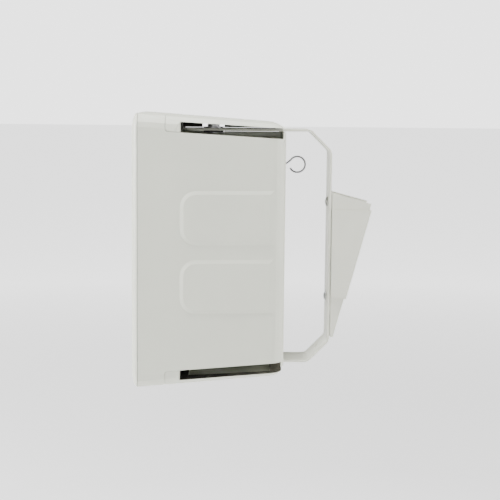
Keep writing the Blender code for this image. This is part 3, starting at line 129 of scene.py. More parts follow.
def colour_property(slot, title, text, shade=1.0):
    """Colour field whose default is the one in the part's record, a touch warmer or darker."""
    warmer = tuple(part * warmth * shade for part, warmth in zip(RECORD_COLOURS[slot], WARMTH))
    return FloatVectorProperty(
        name=title, description=text, default=warmer, size=3, subtype="COLOR", min=0, max=1
    )


def length_property(title, text, millimetres):
    """Length field with its default given in millimetres."""
    return FloatProperty(
        name=title, description=text, default=millimetres * MM, unit="LENGTH", precision=5
    )


def angle_property(title, text, degrees):
    """Angle field with its default given in degrees."""
    return FloatProperty(name=title, description=text, default=radians(degrees), unit="ROTATION")


def strength_property(title, text, strength):
    """Field for how strong a light or a glow is."""
    return FloatProperty(name=title, description=text, default=strength)


class CabinetSettings(bpy.types.PropertyGroup):
    """Sizes and colours of the cabinet and its grille."""

    plastic_colour: colour_property(
        "cabinet_plastic", "Cabinet plastic", "Colour of the moulded cabinet"
    )
    grille_colour: colour_property(
        "grille_paint", "Grille paint", "Colour of the painted grille", GRILLE_SHADE
    )
    corner_radius: length_property(
        "Corner radius", "Radius of the grille's corners seen from the front", 16
    )
    roll: length_property("Rolled edge", "How far the grille's edge rolls in from the side", 17)
    band: length_property("Plain band", "Plain band between rolled edge and perforation", 2.5)
    sheet: length_property("Grille sheet", "Thickness of the grille's steel sheet", 1.0)
    field_step: length_property("Field step", "How far the perforated field lies behind the band", 0.4)
    hole_pitch: length_property("Hole pitch", "Distance between neighbouring holes", 5.4)
    hole_radius: length_property("Hole radius", "Radius of one hole", 1.8)


class BracketSettings(bpy.types.PropertyGroup):
    """Sizes and colours of the yoke and the wedge."""

    paint_colour: colour_property("bracket_paint", "Bracket paint", "Colour of the powder coat")
    bar: length_property("Bar thickness", "Thickness of the yoke's flat bar", 3)
    bend: length_property("Bend radius", "Radius of the bar's middle line in a bend", 10)
    setback: length_property(
        "Corner setback", "Length that a chamfered corner takes off each side", 30.14
    )
    tip: length_property("Tip radius", "Radius of the corners at an arm's end", 8)
    edge: length_property("Edge radius", "Rounding of the bar's edges", 0.5)
    hole: length_property("Corner hole", "Radius of the hole in a chamfered corner", 3)


class StageSettings(bpy.types.PropertyGroup):
    """Camera, floor and light."""

    camera_place: FloatVectorProperty(
        name="Camera", description="Where the camera stands",
        default=(1.54336, -0.16429, 0.19219), unit="LENGTH",
    )
    camera_turn: angle_property("Turn", "How far the camera turns towards the back", 1.0858)
    camera_tilt: angle_property("Tilt", "How far the camera looks down", 7.0128)
    camera_roll: angle_property("Roll", "How far the camera leans", 0.5772)
    lens: FloatProperty(name="Lens", description="Focal length", default=88.55, unit="CAMERA")
    floor_drop: length_property("Floor drop", "How far the floor lies below the cabinet", 350)
    floor_size: length_property("Floor size", "Side of the floor", 60000)
    sky_light: strength_property("Overhead glow", "Strength of the light from high up", 0.12)
    edge_light: strength_property("Horizon glow", "Strength of the light low down all round", 2.0)
    top_light: strength_property("Top light", "Power of the light overhead", 125.0)
    rear_light: strength_property("Rear light", "Power of the light behind the yoke", 38.0)
    front_light: strength_property("Front light", "Power of the light before the grille", 78.0)
    glow_start: length_property(
        "Glow start", "Distance from the object at which the floor starts to glow", 900
    )
    glow_end: length_property(
        "Glow end", "Distance from the object at which the floor glows fully", 3200
    )
    floor_steps: IntProperty(name="Floor steps", description="Divisions of the floor", default=4, min=1)


# ---------------------------------------------------------------- materials


class Finish:
    """Node tree of one material, wired from Object coordinates."""

    def __init__(self, name, colour, roughness, metallic=0.0):
        self.material = bpy.data.materials.new(name)
        self.material.use_nodes = True
        self.tree = self.material.node_tree
        self.shader = self.tree.nodes["Principled BSDF"]
        self.colour = colour
        self.set("Roughness", roughness)
        self.set("Metallic", metallic)
        self.set("Base Color", (*colour, 1))
        self.place = self.tree.nodes.new("ShaderNodeTexCoord").outputs["Object"]
        self.normal = None

    def set(self, socket, value):
        """Puts one value that is the same all over on the shader."""
        self.shader.inputs[socket].default_value = value

    def feed(self, source, socket):
        """Wires a pattern to the shader."""
        self.tree.links.new(source, self.shader.inputs[socket])

    def at(self, stretch):
        """Object coordinates, stretched where a pattern has a direction."""
        if stretch is None:
            return self.place
        mapping = self.tree.nodes.new("ShaderNodeMapping")
        mapping.inputs["Scale"].default_value = stretch
        self.tree.links.new(self.place, mapping.inputs["Vector"])
        return mapping.outputs["Vector"]

    def noise(self, grain, detail=2.0, stretch=None):
        """Cloudy pattern with grains about this many metres across."""
        made = self.tree.nodes.new("ShaderNodeTexNoise")
        made.inputs["Scale"].default_value = 1 / grain
        made.inputs["Detail"].default_value = detail
        self.tree.links.new(self.at(stretch), made.inputs["Vector"])
        return made.outputs["Fac"]

    def specks(self, grain):
        """Cell pattern with cells about this many metres across."""
        made = self.tree.nodes.new("ShaderNodeTexVoronoi")
        made.inputs["Scale"].default_value = 1 / grain
        self.tree.links.new(self.place, made.inputs["Vector"])
        return made.outputs["Distance"]

    def bands(self, period, direction, waver=0.0):
        """Straight bands this many metres apart."""
        made = self.tree.nodes.new("ShaderNodeTexWave")
        made.bands_direction = direction
        made.inputs["Scale"].default_value = WAVE_STEP / period
        made.inputs["Distortion"].default_value = waver
        self.tree.links.new(self.place, made.inputs["Vector"])
        return made.outputs["Fac"]

    def together(self, first, second, operation="MULTIPLY"):
        """Two patterns made one."""
        made = self.tree.nodes.new("ShaderNodeMath")
        made.operation = operation
        self.tree.links.new(first, made.inputs[0])
        self.tree.links.new(second, made.inputs[1])
        return made.outputs[0]

    def stretch_range(self, pattern, low, high, start=0.3, end=0.7):
        """Pattern spread between two values."""
        made = self.tree.nodes.new("ShaderNodeMapRange")
        made.inputs["From Min"].default_value = start
        made.inputs["From Max"].default_value = end
        made.inputs["To Min"].default_value = low
        made.inputs["To Max"].default_value = high
        self.tree.links.new(pattern, made.inputs["Value"])
        return made.outputs["Result"]

    def tint(self, pattern, dark, light, start=0.3, end=0.7):
        """Colours the surface between a darker and a lighter shade by a pattern."""
        made = self.tree.nodes.new("ShaderNodeMix")
        made.data_type = "RGBA"
        self.tree.links.new(self.stretch_range(pattern, 0, 1, start, end), made.inputs[0])
        made.inputs[MIX_DARK].default_value = (*dark, 1)
        made.inputs[MIX_LIGHT].default_value = (*light, 1)
        self.feed(made.outputs[MIX_COLOUR], "Base Color")
        return self

    def mottle(self, pattern, amount):
        """Small variation about the finish's own colour."""
        dark = tuple(part * (1 - amount) for part in self.colour)
        light = tuple(min(1, part * (1 + amount)) for part in self.colour)
        return self.tint(pattern, dark, light)

    def sheen_spread(self, pattern, low, high):
        """Varies how dull the surface is."""
        self.feed(self.stretch_range(pattern, low, high), "Roughness")
        return self

    def relief(self, pattern, depth):
        """Raises the surface by a pattern, on top of earlier reliefs."""
        made = self.tree.nodes.new("ShaderNodeBump")
        made.inputs["Distance"].default_value = depth
        self.tree.links.new(pattern, made.inputs["Height"])
        if self.normal is not None:
            self.tree.links.new(self.normal, made.inputs["Normal"])
        self.normal = made.outputs["Normal"]
        self.feed(self.normal, "Normal")
        return self


def moulded(name, colour, dull, grain, depth):
    """Moulded plastic with a fine eroded texture and slight flow marks."""
    made = Finish(name, colour, dull)
    made.mottle(made.noise(60 * MM, detail=4), amount=0.022)
    made.sheen_spread(made.noise(7 * MM, detail=4), low=dull - 0.05, high=dull + 0.06)
    made.relief(made.noise(70 * MM, detail=1), depth=0.12 * MM)
    made.relief(made.noise(grain, detail=3), depth=depth)
    return made.material


def powder_coat(name, colour, dull, grain, depth):
    """Powder coat with orange peel over a fine grain."""
    made = Finish(name, colour, dull)
    made.mottle(made.noise(35 * MM, detail=4), amount=0.025)
    made.sheen_spread(made.noise(5 * MM, detail=3), low=dull - 0.05, high=dull + 0.06)
    made.relief(made.noise(grain, detail=1), depth=depth)
    made.relief(made.specks(grain / 3), depth=depth / 4)
    made.set("Coat Weight", 0.12)
    made.set("Coat Roughness", 0.3)
    return made.material


def zinc_plate():
    """Bright zinc plating with faint drawing lines and cloudy patches."""
    made = Finish("zinc_plate", RECORD_COLOURS["zinc"], roughness=0.34, metallic=1.0)
    made.tint(made.noise(2.2 * MM, detail=4), dark=(0.46, 0.46, 0.47), light=(0.64, 0.64, 0.64))
    made.sheen_spread(made.noise(0.8 * MM, detail=3), low=0.27, high=0.44)
    made.relief(made.noise(0.35 * MM, detail=2, stretch=(1, 0.06, 1)), depth=0.015 * MM)
    made.set("Anisotropic", 0.25)
    return made.material


def channel_painted_shade():
    """Painted shade for the inner faces of the arms' channels: near black where shade falls deep in the
    slot, paler towards the open back where light comes in, with a random mottle.
    """
    made = Finish("channel_painted_shade", (0.05, 0.042, 0.035), roughness=0.8)
    low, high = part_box("rear_shell")
    split = made.tree.nodes.new("ShaderNodeSeparateXYZ")
    made.tree.links.new(made.place, split.inputs[0])
    # painted light: the colour gets paler towards the open back of the channel, where more light comes
    # in
    reach = made.stretch_range(split.outputs["Y"], 0, 1, (low.y + high.y) / 2, high.y)
    painted_light_mottle = made.together(reach, made.noise(9 * MM, detail=4))
    made.tint(painted_light_mottle, dark=(0.03, 0.024, 0.02), light=(0.2, 0.185, 0.15), start=0.05, end=0.75)
    made.sheen_spread(made.noise(3 * MM, detail=3), low=0.7, high=0.9)
    made.relief(made.noise(0.5 * MM, detail=3), depth=0.04 * MM)
    return made.material


def drawn_wire():
    """Zinc-plated spring wire, darkened by drawing and bending."""
    made = Finish("drawn_wire", RECORD_COLOURS["zinc"], roughness=0.3, metallic=1.0)
    made.tint(made.noise(1.1 * MM, detail=4), dark=(0.09, 0.09, 0.095), light=(0.3, 0.3, 0.31))
    made.sheen_spread(made.noise(0.6 * MM, detail=3), low=0.2, high=0.38)
    made.relief(made.noise(0.3 * MM, detail=2), depth=0.015 * MM)
    return made.material


def turned_brass():
    """Turned brass with fine tool marks."""
    made = Finish("turned_brass", RECORD_COLOURS["brass"], roughness=0.3, metallic=1.0)
    made.mottle(made.noise(1.8 * MM, detail=3), amount=0.12)
    made.sheen_spread(made.noise(0.7 * MM, detail=2), low=0.22, high=0.38)
    made.relief(made.bands(0.35 * MM, "Z", waver=0.6), depth=0.02 * MM)
    return made.material


def black_rubber():
    """Matt rubber with a powdery bloom."""
    made = Finish("black_rubber", RECORD_COLOURS["soft_rubber"], roughness=0.62)
    made.tint(made.noise(6 * MM, detail=5), dark=(0.016, 0.016, 0.016), light=(0.034, 0.034, 0.033))
    made.sheen_spread(made.noise(1.2 * MM, detail=3), low=0.54, high=0.72)
    made.relief(made.noise(0.25 * MM, detail=3), depth=0.02 * MM)
    return made.material


def cone_paper():
    """Pressed paper pulp with short fibres and a thin coating."""
    made = Finish("cone_paper", RECORD_COLOURS["cone_paper"], roughness=0.75)
    long_fibres = made.noise(0.9 * MM, detail=4, stretch=(1, 1, 0.18))
    cross_fibres = made.noise(0.9 * MM, detail=4, stretch=(0.18, 1, 1))
    pulp = made.together(long_fibres, cross_fibres, "MAXIMUM")
    made.tint(pulp, dark=(0.034, 0.033, 0.032), light=(0.078, 0.075, 0.071), start=0.4, end=0.75)
    made.sheen_spread(made.noise(3 * MM, detail=3), low=0.66, high=0.84)
    made.relief(pulp, depth=0.08 * MM)
    made.set("Sheen Weight", 0.15)
    return made.material


def woven(name, dark, light, period, depth, dull):
    """Plain weave of two crossing threads."""
    made = Finish(name, light, dull)
    warp = made.bands(period, "X", waver=0.25)
    weft = made.bands(period, "Z", waver=0.25)
    weave = made.together(warp, weft, "MAXIMUM")
    made.tint(made.together(weave, made.noise(4 * MM, detail=3)), dark, light, start=0.15, end=0.6)
    made.sheen_spread(made.noise(2 * MM, detail=3), low=dull - 0.06, high=dull + 0.06)
    made.relief(weave, depth=depth)
    made.relief(made.noise(0.15 * MM, detail=3), depth=depth / 5)
    made.set("Sheen Weight", 0.2)
    return made.material


def ferrite():
    """Sintered ferrite, dull and grainy."""
    made = Finish("ferrite", RECORD_COLOURS["ferrite"], roughness=0.6)
    grains = made.specks(0.9 * MM)
    made.tint(grains, dark=(0.05, 0.05, 0.058), light=(0.1, 0.1, 0.11), start=0.1, end=0.8)
    made.sheen_spread(made.noise(2 * MM, detail=4), low=0.5, high=0.72)
    made.relief(made.noise(0.4 * MM, detail=4), depth=0.05 * MM)
    return made.material


def laminations():
    """Stack of lacquered steel sheets."""
    made = Finish("laminations", RECORD_COLOURS["lamination_steel"], roughness=0.42, metallic=0.85)
    sheets = made.bands(0.5 * MM, "X", waver=0.15)
    made.tint(sheets, dark=(0.13, 0.13, 0.14), light=(0.36, 0.37, 0.39), start=0.1, end=0.6)
    made.sheen_spread(made.noise(2 * MM, detail=3), low=0.34, high=0.52)
    made.relief(sheets, depth=0.08 * MM)
    return made.material


def copper_winding():
    """Enamelled wire laid turn by turn."""
    made = Finish("copper_winding", RECORD_COLOURS["copper"], roughness=0.3, metallic=0.9)
    turns = made.bands(0.8 * MM, "Z", waver=0.3)
    worn_turns = made.together(turns, made.noise(3 * MM, detail=3))
    made.tint(worn_turns, dark=(0.3, 0.1, 0.04), light=(0.66, 0.29, 0.14), start=0.1, end=0.5)
    made.sheen_spread(made.noise(1.5 * MM, detail=2), low=0.24, high=0.4)
    made.relief(turns, depth=0.22 * MM)
    made.set("Coat Weight", 0.4)
    return made.material


def circuit_board():
    """Solder mask with raised tracks and a glass weave below."""
    made = Finish("circuit_board", RECORD_COLOURS["board_green"], roughness=0.32)
    tracks = made.bands(5 * MM, "X", waver=9.0)
    made.tint(tracks, dark=(0.016, 0.1, 0.035), light=(0.05, 0.24, 0.09), start=0.55, end=0.62)
    made.sheen_spread(made.noise(3 * MM, detail=3), low=0.26, high=0.4)
    made.relief(tracks, depth=0.035 * MM)
    made.relief(made.bands(0.5 * MM, "Z", waver=0.2), depth=0.008 * MM)
    return made.material


def felt():
    """Pressed felt with loose fibres."""
    made = Finish("felt", RECORD_COLOURS["felt_grey"], roughness=0.92)
    made.mottle(made.noise(1.6 * MM, detail=6), amount=0.35)
    made.sheen_spread(made.noise(3 * MM, detail=3), low=0.86, high=0.98)
    made.relief(made.noise(0.6 * MM, detail=6), depth=0.45 * MM)
    made.set("Sheen Weight", 0.5)
    return made.material


FINISH_MAKERS = {
    "cabinet_plastic": lambda: moulded(
        "cabinet_plastic", tuple(cabinet().plastic_colour),
        dull=0.52, grain=0.42 * MM, depth=0.03 * MM,
    ),
    "black_plastic": lambda: moulded(
        "black_plastic", RECORD_COLOURS["black_plastic"],
        dull=0.46, grain=0.4 * MM, depth=0.03 * MM,
    ),
    "bracket_paint": lambda: powder_coat(
        "bracket_powder_coat", tuple(bracket().paint_colour),
        dull=0.4, grain=1.6 * MM, depth=0.045 * MM,
    ),
    "grille_paint": lambda: powder_coat(
        "grille_powder_coat", tuple(cabinet().grille_colour),
        dull=0.44, grain=1.5 * MM, depth=0.04 * MM,
    ),
    "basket_paint": lambda: powder_coat(
        "basket_stoved_paint", RECORD_COLOURS["basket_paint"],
        dull=0.34, grain=1.3 * MM, depth=0.05 * MM,
    ),
    "zinc": zinc_plate,
    "wire": drawn_wire,
    "painted_shade": channel_painted_shade,
    "brass": turned_brass,
    "soft_rubber": black_rubber,
    "cone_paper": cone_paper,
    "spider_cloth": lambda: woven(
        "spider_cloth", dark=(0.28, 0.19, 0.08), light=RECORD_COLOURS["spider_cloth"],
        period=0.9 * MM, depth=0.14 * MM, dull=0.8,
    ),
    "cloth": lambda: woven(
        "grille_cloth", dark=(0.008, 0.008, 0.008), light=(0.03, 0.03, 0.03),
        period=1.0 * MM, depth=0.2 * MM, dull=0.9,
    ),
    "ferrite": ferrite,
    "lamination_steel": laminations,
    "copper": copper_winding,
    "board_green": circuit_board,
    "felt_grey": felt,
}
FINISHES = {}


def finish_of(slot):
    """Material of one slot of the record, made the first time it is asked for."""
    if slot not in FINISHES:
        FINISHES[slot] = FINISH_MAKERS[slot]()
    return FINISHES[slot]


def cabinet():
    """Settings of the cabinet."""
    return bpy.context.scene.speaker_cabinet


def bracket():
    """Settings of the bracket."""
    return bpy.context.scene.speaker_bracket


# ---------------------------------------------------------------- modelling


def clear_selection():
    """Leaves edit mode if an object is in it, and deselects everything."""
    if bpy.context.object is not None and bpy.context.object.mode != "OBJECT":
        bpy.ops.object.mode_set(mode="OBJECT")
    bpy.ops.object.select_all(action="DESELECT")


def edit_all():
    """Opens the active object for editing with all of its mesh selected."""
    bpy.ops.object.mode_set(mode="EDIT")
    bpy.ops.mesh.select_all(action="SELECT")


def pick(*pieces):
    """Selects these objects and no others, the first of them active."""
    clear_selection()
    for piece in pieces:
        piece.select_set(True)
    bpy.context.view_layer.objects.active = pieces[0]


def choose(piece, kind, test):
    """Selects a piece's faces, edges or corners that pass a test, and stays in edit mode."""
    bpy.ops.object.mode_set(mode="EDIT")
    bpy.ops.mesh.select_mode(type=kind)
    bpy.ops.mesh.select_all(action="DESELECT")
    bpy.ops.object.mode_set(mode="OBJECT")
    parts = {"FACE": piece.data.polygons, "EDGE": piece.data.edges, "VERT": piece.data.vertices}[kind]
    for part in parts:
        part.select = test(part)
    bpy.ops.object.mode_set(mode="EDIT")


def start(name, adder, **where):
    """Adds a primitive under a name with nothing else selected, and puts its place in its mesh."""
    clear_selection()
    scale = where.pop("sized", (1, 1, 1))
    adder(**where)
    made = bpy.context.object
    made.name = name
    made.data.name = name
    made.scale = scale
    bpy.ops.object.transform_apply(location=True, rotation=True, scale=True)
    return made


def apply_modifier(piece, kind, **values):
    """Adds a modifier with these values and applies it."""
    pick(piece)
    made = piece.modifiers.new(kind.title(), kind)
    for name, value in values.items():
        setattr(made, name, value)
    bpy.ops.object.modifier_apply(modifier=made.name)


def soften(piece, corner=35):
    """Smooth shading up to a corner angle, with large flat faces kept flat."""
    pick(piece)
    bpy.ops.object.shade_smooth_by_angle(angle=radians(corner))
    apply_modifier(piece, "WEIGHTED_NORMAL", keep_sharp=True, weight=FLAT_WEIGHT)


def close_up(piece):
    """Merges doubles and turns every face outwards."""
    pick(piece)
    edit_all()
    bpy.ops.mesh.remove_doubles(threshold=MERGE)
    bpy.ops.mesh.normals_make_consistent(inside=False)
    bpy.ops.object.mode_set(mode="OBJECT")


def drill(piece, radius, length, place, tilt):
    """Cuts a round hole through a piece."""
    cutter = start(
        "cutter", bpy.ops.mesh.primitive_cylinder_add, vertices=DRILL_SIDES, radius=radius, depth=length,
        location=place, rotation=(tilt, 0, 0),
    )
    apply_modifier(piece, "BOOLEAN", operation="DIFFERENCE", solver="EXACT", object=cutter)
    bpy.data.objects.remove(cutter, do_unlink=True)


def hand_over(piece, slot, body, *nodes, finish=None):
    """Gives a finished piece its material and its body, and hides the CAD nodes that it stands for."""
    piece.data.materials.clear()
    piece.data.materials.append(finish_of(finish or slot))
    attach(piece, body)
    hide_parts(*nodes)
    return piece


def body_of(node):
    """Body that a CAD node rides on."""
    return frame["nodes"][node]["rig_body"]


def fold_angles(piece):
    """Angle between the two faces at each edge."""
    meeting = {}
    for face in piece.data.polygons:
        for key in face.edge_keys:
            meeting.setdefault(key, []).append(face.normal.copy())
    return {key: pair[0].angle(pair[1]) for key, pair in meeting.items() if len(pair) == 2}


def round_fields(piece):
    """Rounds the shallow edges of the raised fields on both sides."""
    angles = fold_angles(piece)
    corners = piece.data.vertices
    reach = max(corner.co.x for corner in corners) * SIDE_SHARE
    shallow, steep = FIELD_ANGLES

    def field_edge(edge):
        angle = angles.get(tuple(sorted(edge.vertices)), 0)
        outside = all(abs(corners[index].co.x) > reach for index in edge.vertices)
        return outside and shallow < angle < steep

    choose(piece, "EDGE", field_edge)
    bpy.ops.mesh.bevel(offset=FIELD_ROUNDING, segments=4, affect="EDGES", clamp_overlap=True)
    bpy.ops.object.mode_set(mode="OBJECT")


def worked_copy(node, slot, edge=0.0, corner=35, shape=None, finish=None):
    """Copy of a CAD node, merged, its flats joined, its edges broken and its curves smoothed."""
    name = node + "_finished"
    made = bpy.data.objects.new(name, frame["nodes"][node].data.copy())
    made.data.name = name
    bpy.context.scene.collection.objects.link(made)
    pick(made)
    bpy.ops.mesh.customdata_custom_splitnormals_clear()
    edit_all()
    bpy.ops.mesh.remove_doubles(threshold=MERGE)
    bpy.ops.mesh.dissolve_limited(angle_limit=FLAT_ANGLE)
    bpy.ops.object.mode_set(mode="OBJECT")
    if edge:
        apply_modifier(
            made, "BEVEL", width=edge, segments=2, limit_method="ANGLE", angle_limit=BROKEN_ANGLE
        )
    if shape is not None:
        shape(made)
    soften(made, corner)
    return hand_over(made, slot, body_of(node), node, finish=finish)


def worked_copies(nodes, slot, edge=0.0, corner=35):
    """Several CAD nodes worked in the same way."""
    for node in nodes:
        worked_copy(node, slot, edge, corner)


# ---------------------------------------------------------------- pieces


def paint_channel_shade(piece):
    """Gives the faces inside the arms' channels a second material of painted shade, and leaves the outer
    skin alone.
    """
    shell_low, shell_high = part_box("rear_shell")
    yoke_low, yoke_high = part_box("yoke")
    cover_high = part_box("upper_channel_cover")[1]
    middle = (shell_low.z + shell_high.z) / 2
    front, back = yoke_low.y - CHANNEL_LEAD, shell_high.y - BACK_EDGE
    arm_top = yoke_high.z - middle
    # material 1 is painted shade for the channels' deep insides
    piece.data.materials.append(finish_of("painted_shade"))
    for face in piece.data.polygons:
        centre = face.center
        height = abs(centre.z - middle)
        behind = centre.y - shell_low.y
        inside = abs(centre.x) < cover_high.x - behind * SIDE_DRAFT - SIDE_WALL
        outer = shell_high.z - middle - behind * tan(SHELL_SLOPE)
        level = arm_top - CHANNEL_BELOW < height < min(arm_top + CHANNEL_ABOVE, outer - OUTER_SKIN)
        floor_or_rib = abs(face.normal.z) > 0.9 or abs(centre.x) < CHANNEL_HALF_WIDTH
        if inside and level and floor_or_rib and front < centre.y < back:
            face.material_index = 1


class PieceOperator:
    """What every operator here shares."""

    bl_options = {"REGISTER", "UNDO"}


class SPEAKER_OT_rear_shell(PieceOperator, bpy.types.Operator):
    """Drafted rear shell with raised fields, slots for the arms and a filleted back"""

    bl_idname = "speaker.rear_shell"
    bl_label = "Rear shell"

    def execute(self, context):
        paint_channel_shade(worked_copy("rear_shell", "cabinet_plastic", corner=11, shape=round_fields))
        return {"FINISHED"}


class SPEAKER_OT_channel_covers(PieceOperator, bpy.types.Operator):
    """Covers over the upper and lower slot, with their screws"""

    bl_idname = "speaker.channel_covers"
    bl_label = "Channel covers"

    def execute(self, context):
        for node in ("upper_channel_cover", "lower_channel_cover"):
            paint_channel_shade(worked_copy(node, "cabinet_plastic", corner=14))
        worked_copies(("upper_cover_screw", "lower_cover_screw"), "zinc", edge=0.15 * MM)
        return {"FINISHED"}


def grille_frame():
    """Rolled edge and plain band of the grille, with an open middle."""
    sizes = cabinet()
    low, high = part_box("grille")
    centre = (low + high) / 2
    half_width = (high.x - low.x) / 2
    half_height = (high.z - low.z) / 2
    depth = high.y - low.y
    made = start(
        "grille_frame", bpy.ops.mesh.primitive_plane_add, size=1, location=(centre.x, high.y, centre.z),
        rotation=(pi / 2, 0, 0), sized=(2 * half_width, 2 * half_height, 1),
    )
    edit_all()
    bpy.ops.mesh.bevel(offset=sizes.corner_radius, segments=CORNER_STEPS, affect="VERTICES")
    reach, inset = 0.0, 0.0
    for step in range(1, ROLL_STEPS + 1):
        angle = pi / 2 * step / ROLL_STEPS
        next_reach = depth * sin(angle)
        next_inset = sizes.roll * (1 - cos(angle))
        bpy.ops.mesh.select_mode(type="FACE")
        bpy.ops.mesh.extrude_region_move(TRANSFORM_OT_translate={"value": (0, reach - next_reach, 0)})
        across = (half_width - next_inset) / (half_width - inset)
        along = (half_height - next_inset) / (half_height - inset)
        bpy.ops.transform.resize(value=(across, 1, along), center_override=tuple(centre))
        reach, inset = next_reach, next_inset
    bpy.ops.mesh.inset(thickness=sizes.band, depth=0)
    bpy.ops.mesh.delete(type="FACE")
    choose(made, "FACE", lambda face: face.normal.y > 0.9)
    bpy.ops.mesh.delete(type="ONLY_FACE")
    bpy.ops.object.mode_set(mode="OBJECT")
    apply_modifier(made, "SOLIDIFY", thickness=sizes.sheet, offset=-1)
    close_up(made)
    return made


def perforated_field():
    """Sheet with staggered round holes, one cell modelled and the rest repeated from it."""
    sizes = cabinet()
    low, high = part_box("grille")
    centre = (low + high) / 2
    half_width = (high.x - low.x) / 2 - sizes.roll - sizes.band + sizes.sheet
    half_height = (high.z - low.z) / 2 - sizes.roll - sizes.band + sizes.sheet
    front = low.y + sizes.field_step
    pitch = sizes.hole_pitch
    row = pitch * sqrt(3) / 2
    columns = int(2 * half_width / pitch) + 3
    rows = int(half_height / row) + 2
    corner = Vector((centre.x - pitch * (columns - 1) / 2, front, centre.z - row * (rows - 0.5)))
    made = start(
        "grille_field", bpy.ops.mesh.primitive_circle_add, vertices=6, radius=pitch / sqrt(3),
        location=corner, rotation=(pi / 2, 0, 0),
    )
    edit_all()
    bpy.ops.mesh.subdivide(number_cuts=1)
    bpy.ops.object.mode_set(mode="OBJECT")
    hole = start(
        "hole", bpy.ops.mesh.primitive_circle_add, vertices=HOLE_CORNERS, radius=sizes.hole_radius,
        location=corner, rotation=(pi / 2, 0, 0),
    )
    pick(made, hole)
    bpy.ops.object.join()
    edit_all()
    bpy.ops.mesh.bridge_edge_loops()
    bpy.ops.mesh.duplicate_move(TRANSFORM_OT_translate={"value": (pitch / 2, 0, row)})
    bpy.ops.object.mode_set(mode="OBJECT")
    apply_modifier(
        made, "ARRAY", count=columns, use_relative_offset=False, use_constant_offset=True,
        constant_offset_displace=(pitch, 0, 0),
    )
    apply_modifier(
        made, "ARRAY", count=rows, use_relative_offset=False, use_constant_offset=True,
        constant_offset_displace=(0, 0, 2 * row),
    )
    pick(made)
    edit_all()
    bpy.ops.mesh.remove_doubles(threshold=CELL_MERGE)
    edges = (
        ((centre.x + half_width, 0, 0), (1, 0, 0)),
        ((centre.x - half_width, 0, 0), (-1, 0, 0)),
        ((0, 0, centre.z + half_height), (0, 0, 1)),
        ((0, 0, centre.z - half_height), (0, 0, -1)),
    )
    for place, outward in edges:
        bpy.ops.mesh.select_all(action="SELECT")
        bpy.ops.mesh.bisect(plane_co=place, plane_no=outward, clear_outer=True)
    bpy.ops.object.mode_set(mode="OBJECT")
    turned = sum(face.normal.y * face.area for face in made.data.polygons) > 0
    if turned:
        edit_all()
        bpy.ops.mesh.flip_normals()
        bpy.ops.object.mode_set(mode="OBJECT")
    apply_modifier(made, "SOLIDIFY", thickness=FIELD_THINNING * sizes.sheet, offset=-1)
    return made


class SPEAKER_OT_grille(PieceOperator, bpy.types.Operator):
    """Front grille with rolled edge and staggered perforation"""

    bl_idname = "speaker.grille"
    bl_label = "Grille"

    def execute(self, context):
        field = perforated_field()
        made = grille_frame()
        pick(made, field)
        bpy.ops.object.join()
        made.name = "grille_finished"
        made.data.name = made.name
        soften(made, 40)
        hand_over(made, "grille_paint", "cabinet", "grille")
        return {"FINISHED"}


class SPEAKER_OT_grille_cloth(PieceOperator, bpy.types.Operator):
    """Black cloth glued behind the perforation"""

    bl_idname = "speaker.grille_cloth"
    bl_label = "Grille cloth"

    def execute(self, context):
        worked_copy("grille_cloth", "cloth", edge=0.1 * MM)
        return {"FINISHED"}


def extend(vector):
    """Draws the selected end of the bar on in a straight line."""
    bpy.ops.mesh.extrude_region_move(TRANSFORM_OT_translate={"value": vector})


def fold(y, z):
    """Bends the selected end of the bar down by 45 degrees about a line across it."""
    bpy.ops.mesh.spin(steps=FOLD_STEPS, angle=radians(45), center=(0, y, z), axis=(1, 0, 0))


def bent_bar():
    """Flat bar run from the upper arm's end round both chamfered corners to the lower arm's end."""
    sizes = bracket()
    low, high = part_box("yoke")
    middle = (low.z + high.z) / 2
    arm_z = high.z - sizes.bar / 2
    back_y = high.y - sizes.bar / 2
    bend_y = back_y - sizes.setback
    slope = sqrt(0.5)
    run = sizes.setback - sizes.bend
    fall = arm_z - sizes.bend * (1 - slope) - run - sizes.bend * slope
    made = start(
        "yoke_finished", bpy.ops.mesh.primitive_plane_add, size=1, location=(0, low.y, arm_z),
        rotation=(pi / 2, 0, 0), sized=(high.x - low.x, sizes.bar, 1),
    )
    bpy.ops.object.mode_set(mode="EDIT")
    bpy.ops.mesh.select_mode(type="FACE")
    bpy.ops.mesh.select_all(action="SELECT")
    extend((0, bend_y - low.y, 0))
    fold(bend_y, arm_z - sizes.bend)
    extend((0, run, -run))
    fold(back_y - sizes.bend, fall)
    extend((0, 0, 2 * (middle - fall)))
    fold(back_y - sizes.bend, 2 * middle - fall)
    extend((0, -run, -run))
    fold(bend_y, 2 * middle - arm_z + sizes.bend)
    extend((0, low.y - bend_y, 0))
    bpy.ops.object.mode_set(mode="OBJECT")
    close_up(made)
    return made


def compare_box(piece, node, slack):
    """Raises an error if a piece's box isn't its CAD node's."""
    low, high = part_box(node)
    for axis in range(3):
        places = [corner.co[axis] for corner in piece.data.vertices]
        if abs(min(places) - low[axis]) > slack or abs(max(places) - high[axis]) > slack:
            raise RuntimeError(
                f"{piece.name} doesn't fill the box of {node}: {min(places)}, {max(places)}"
            )


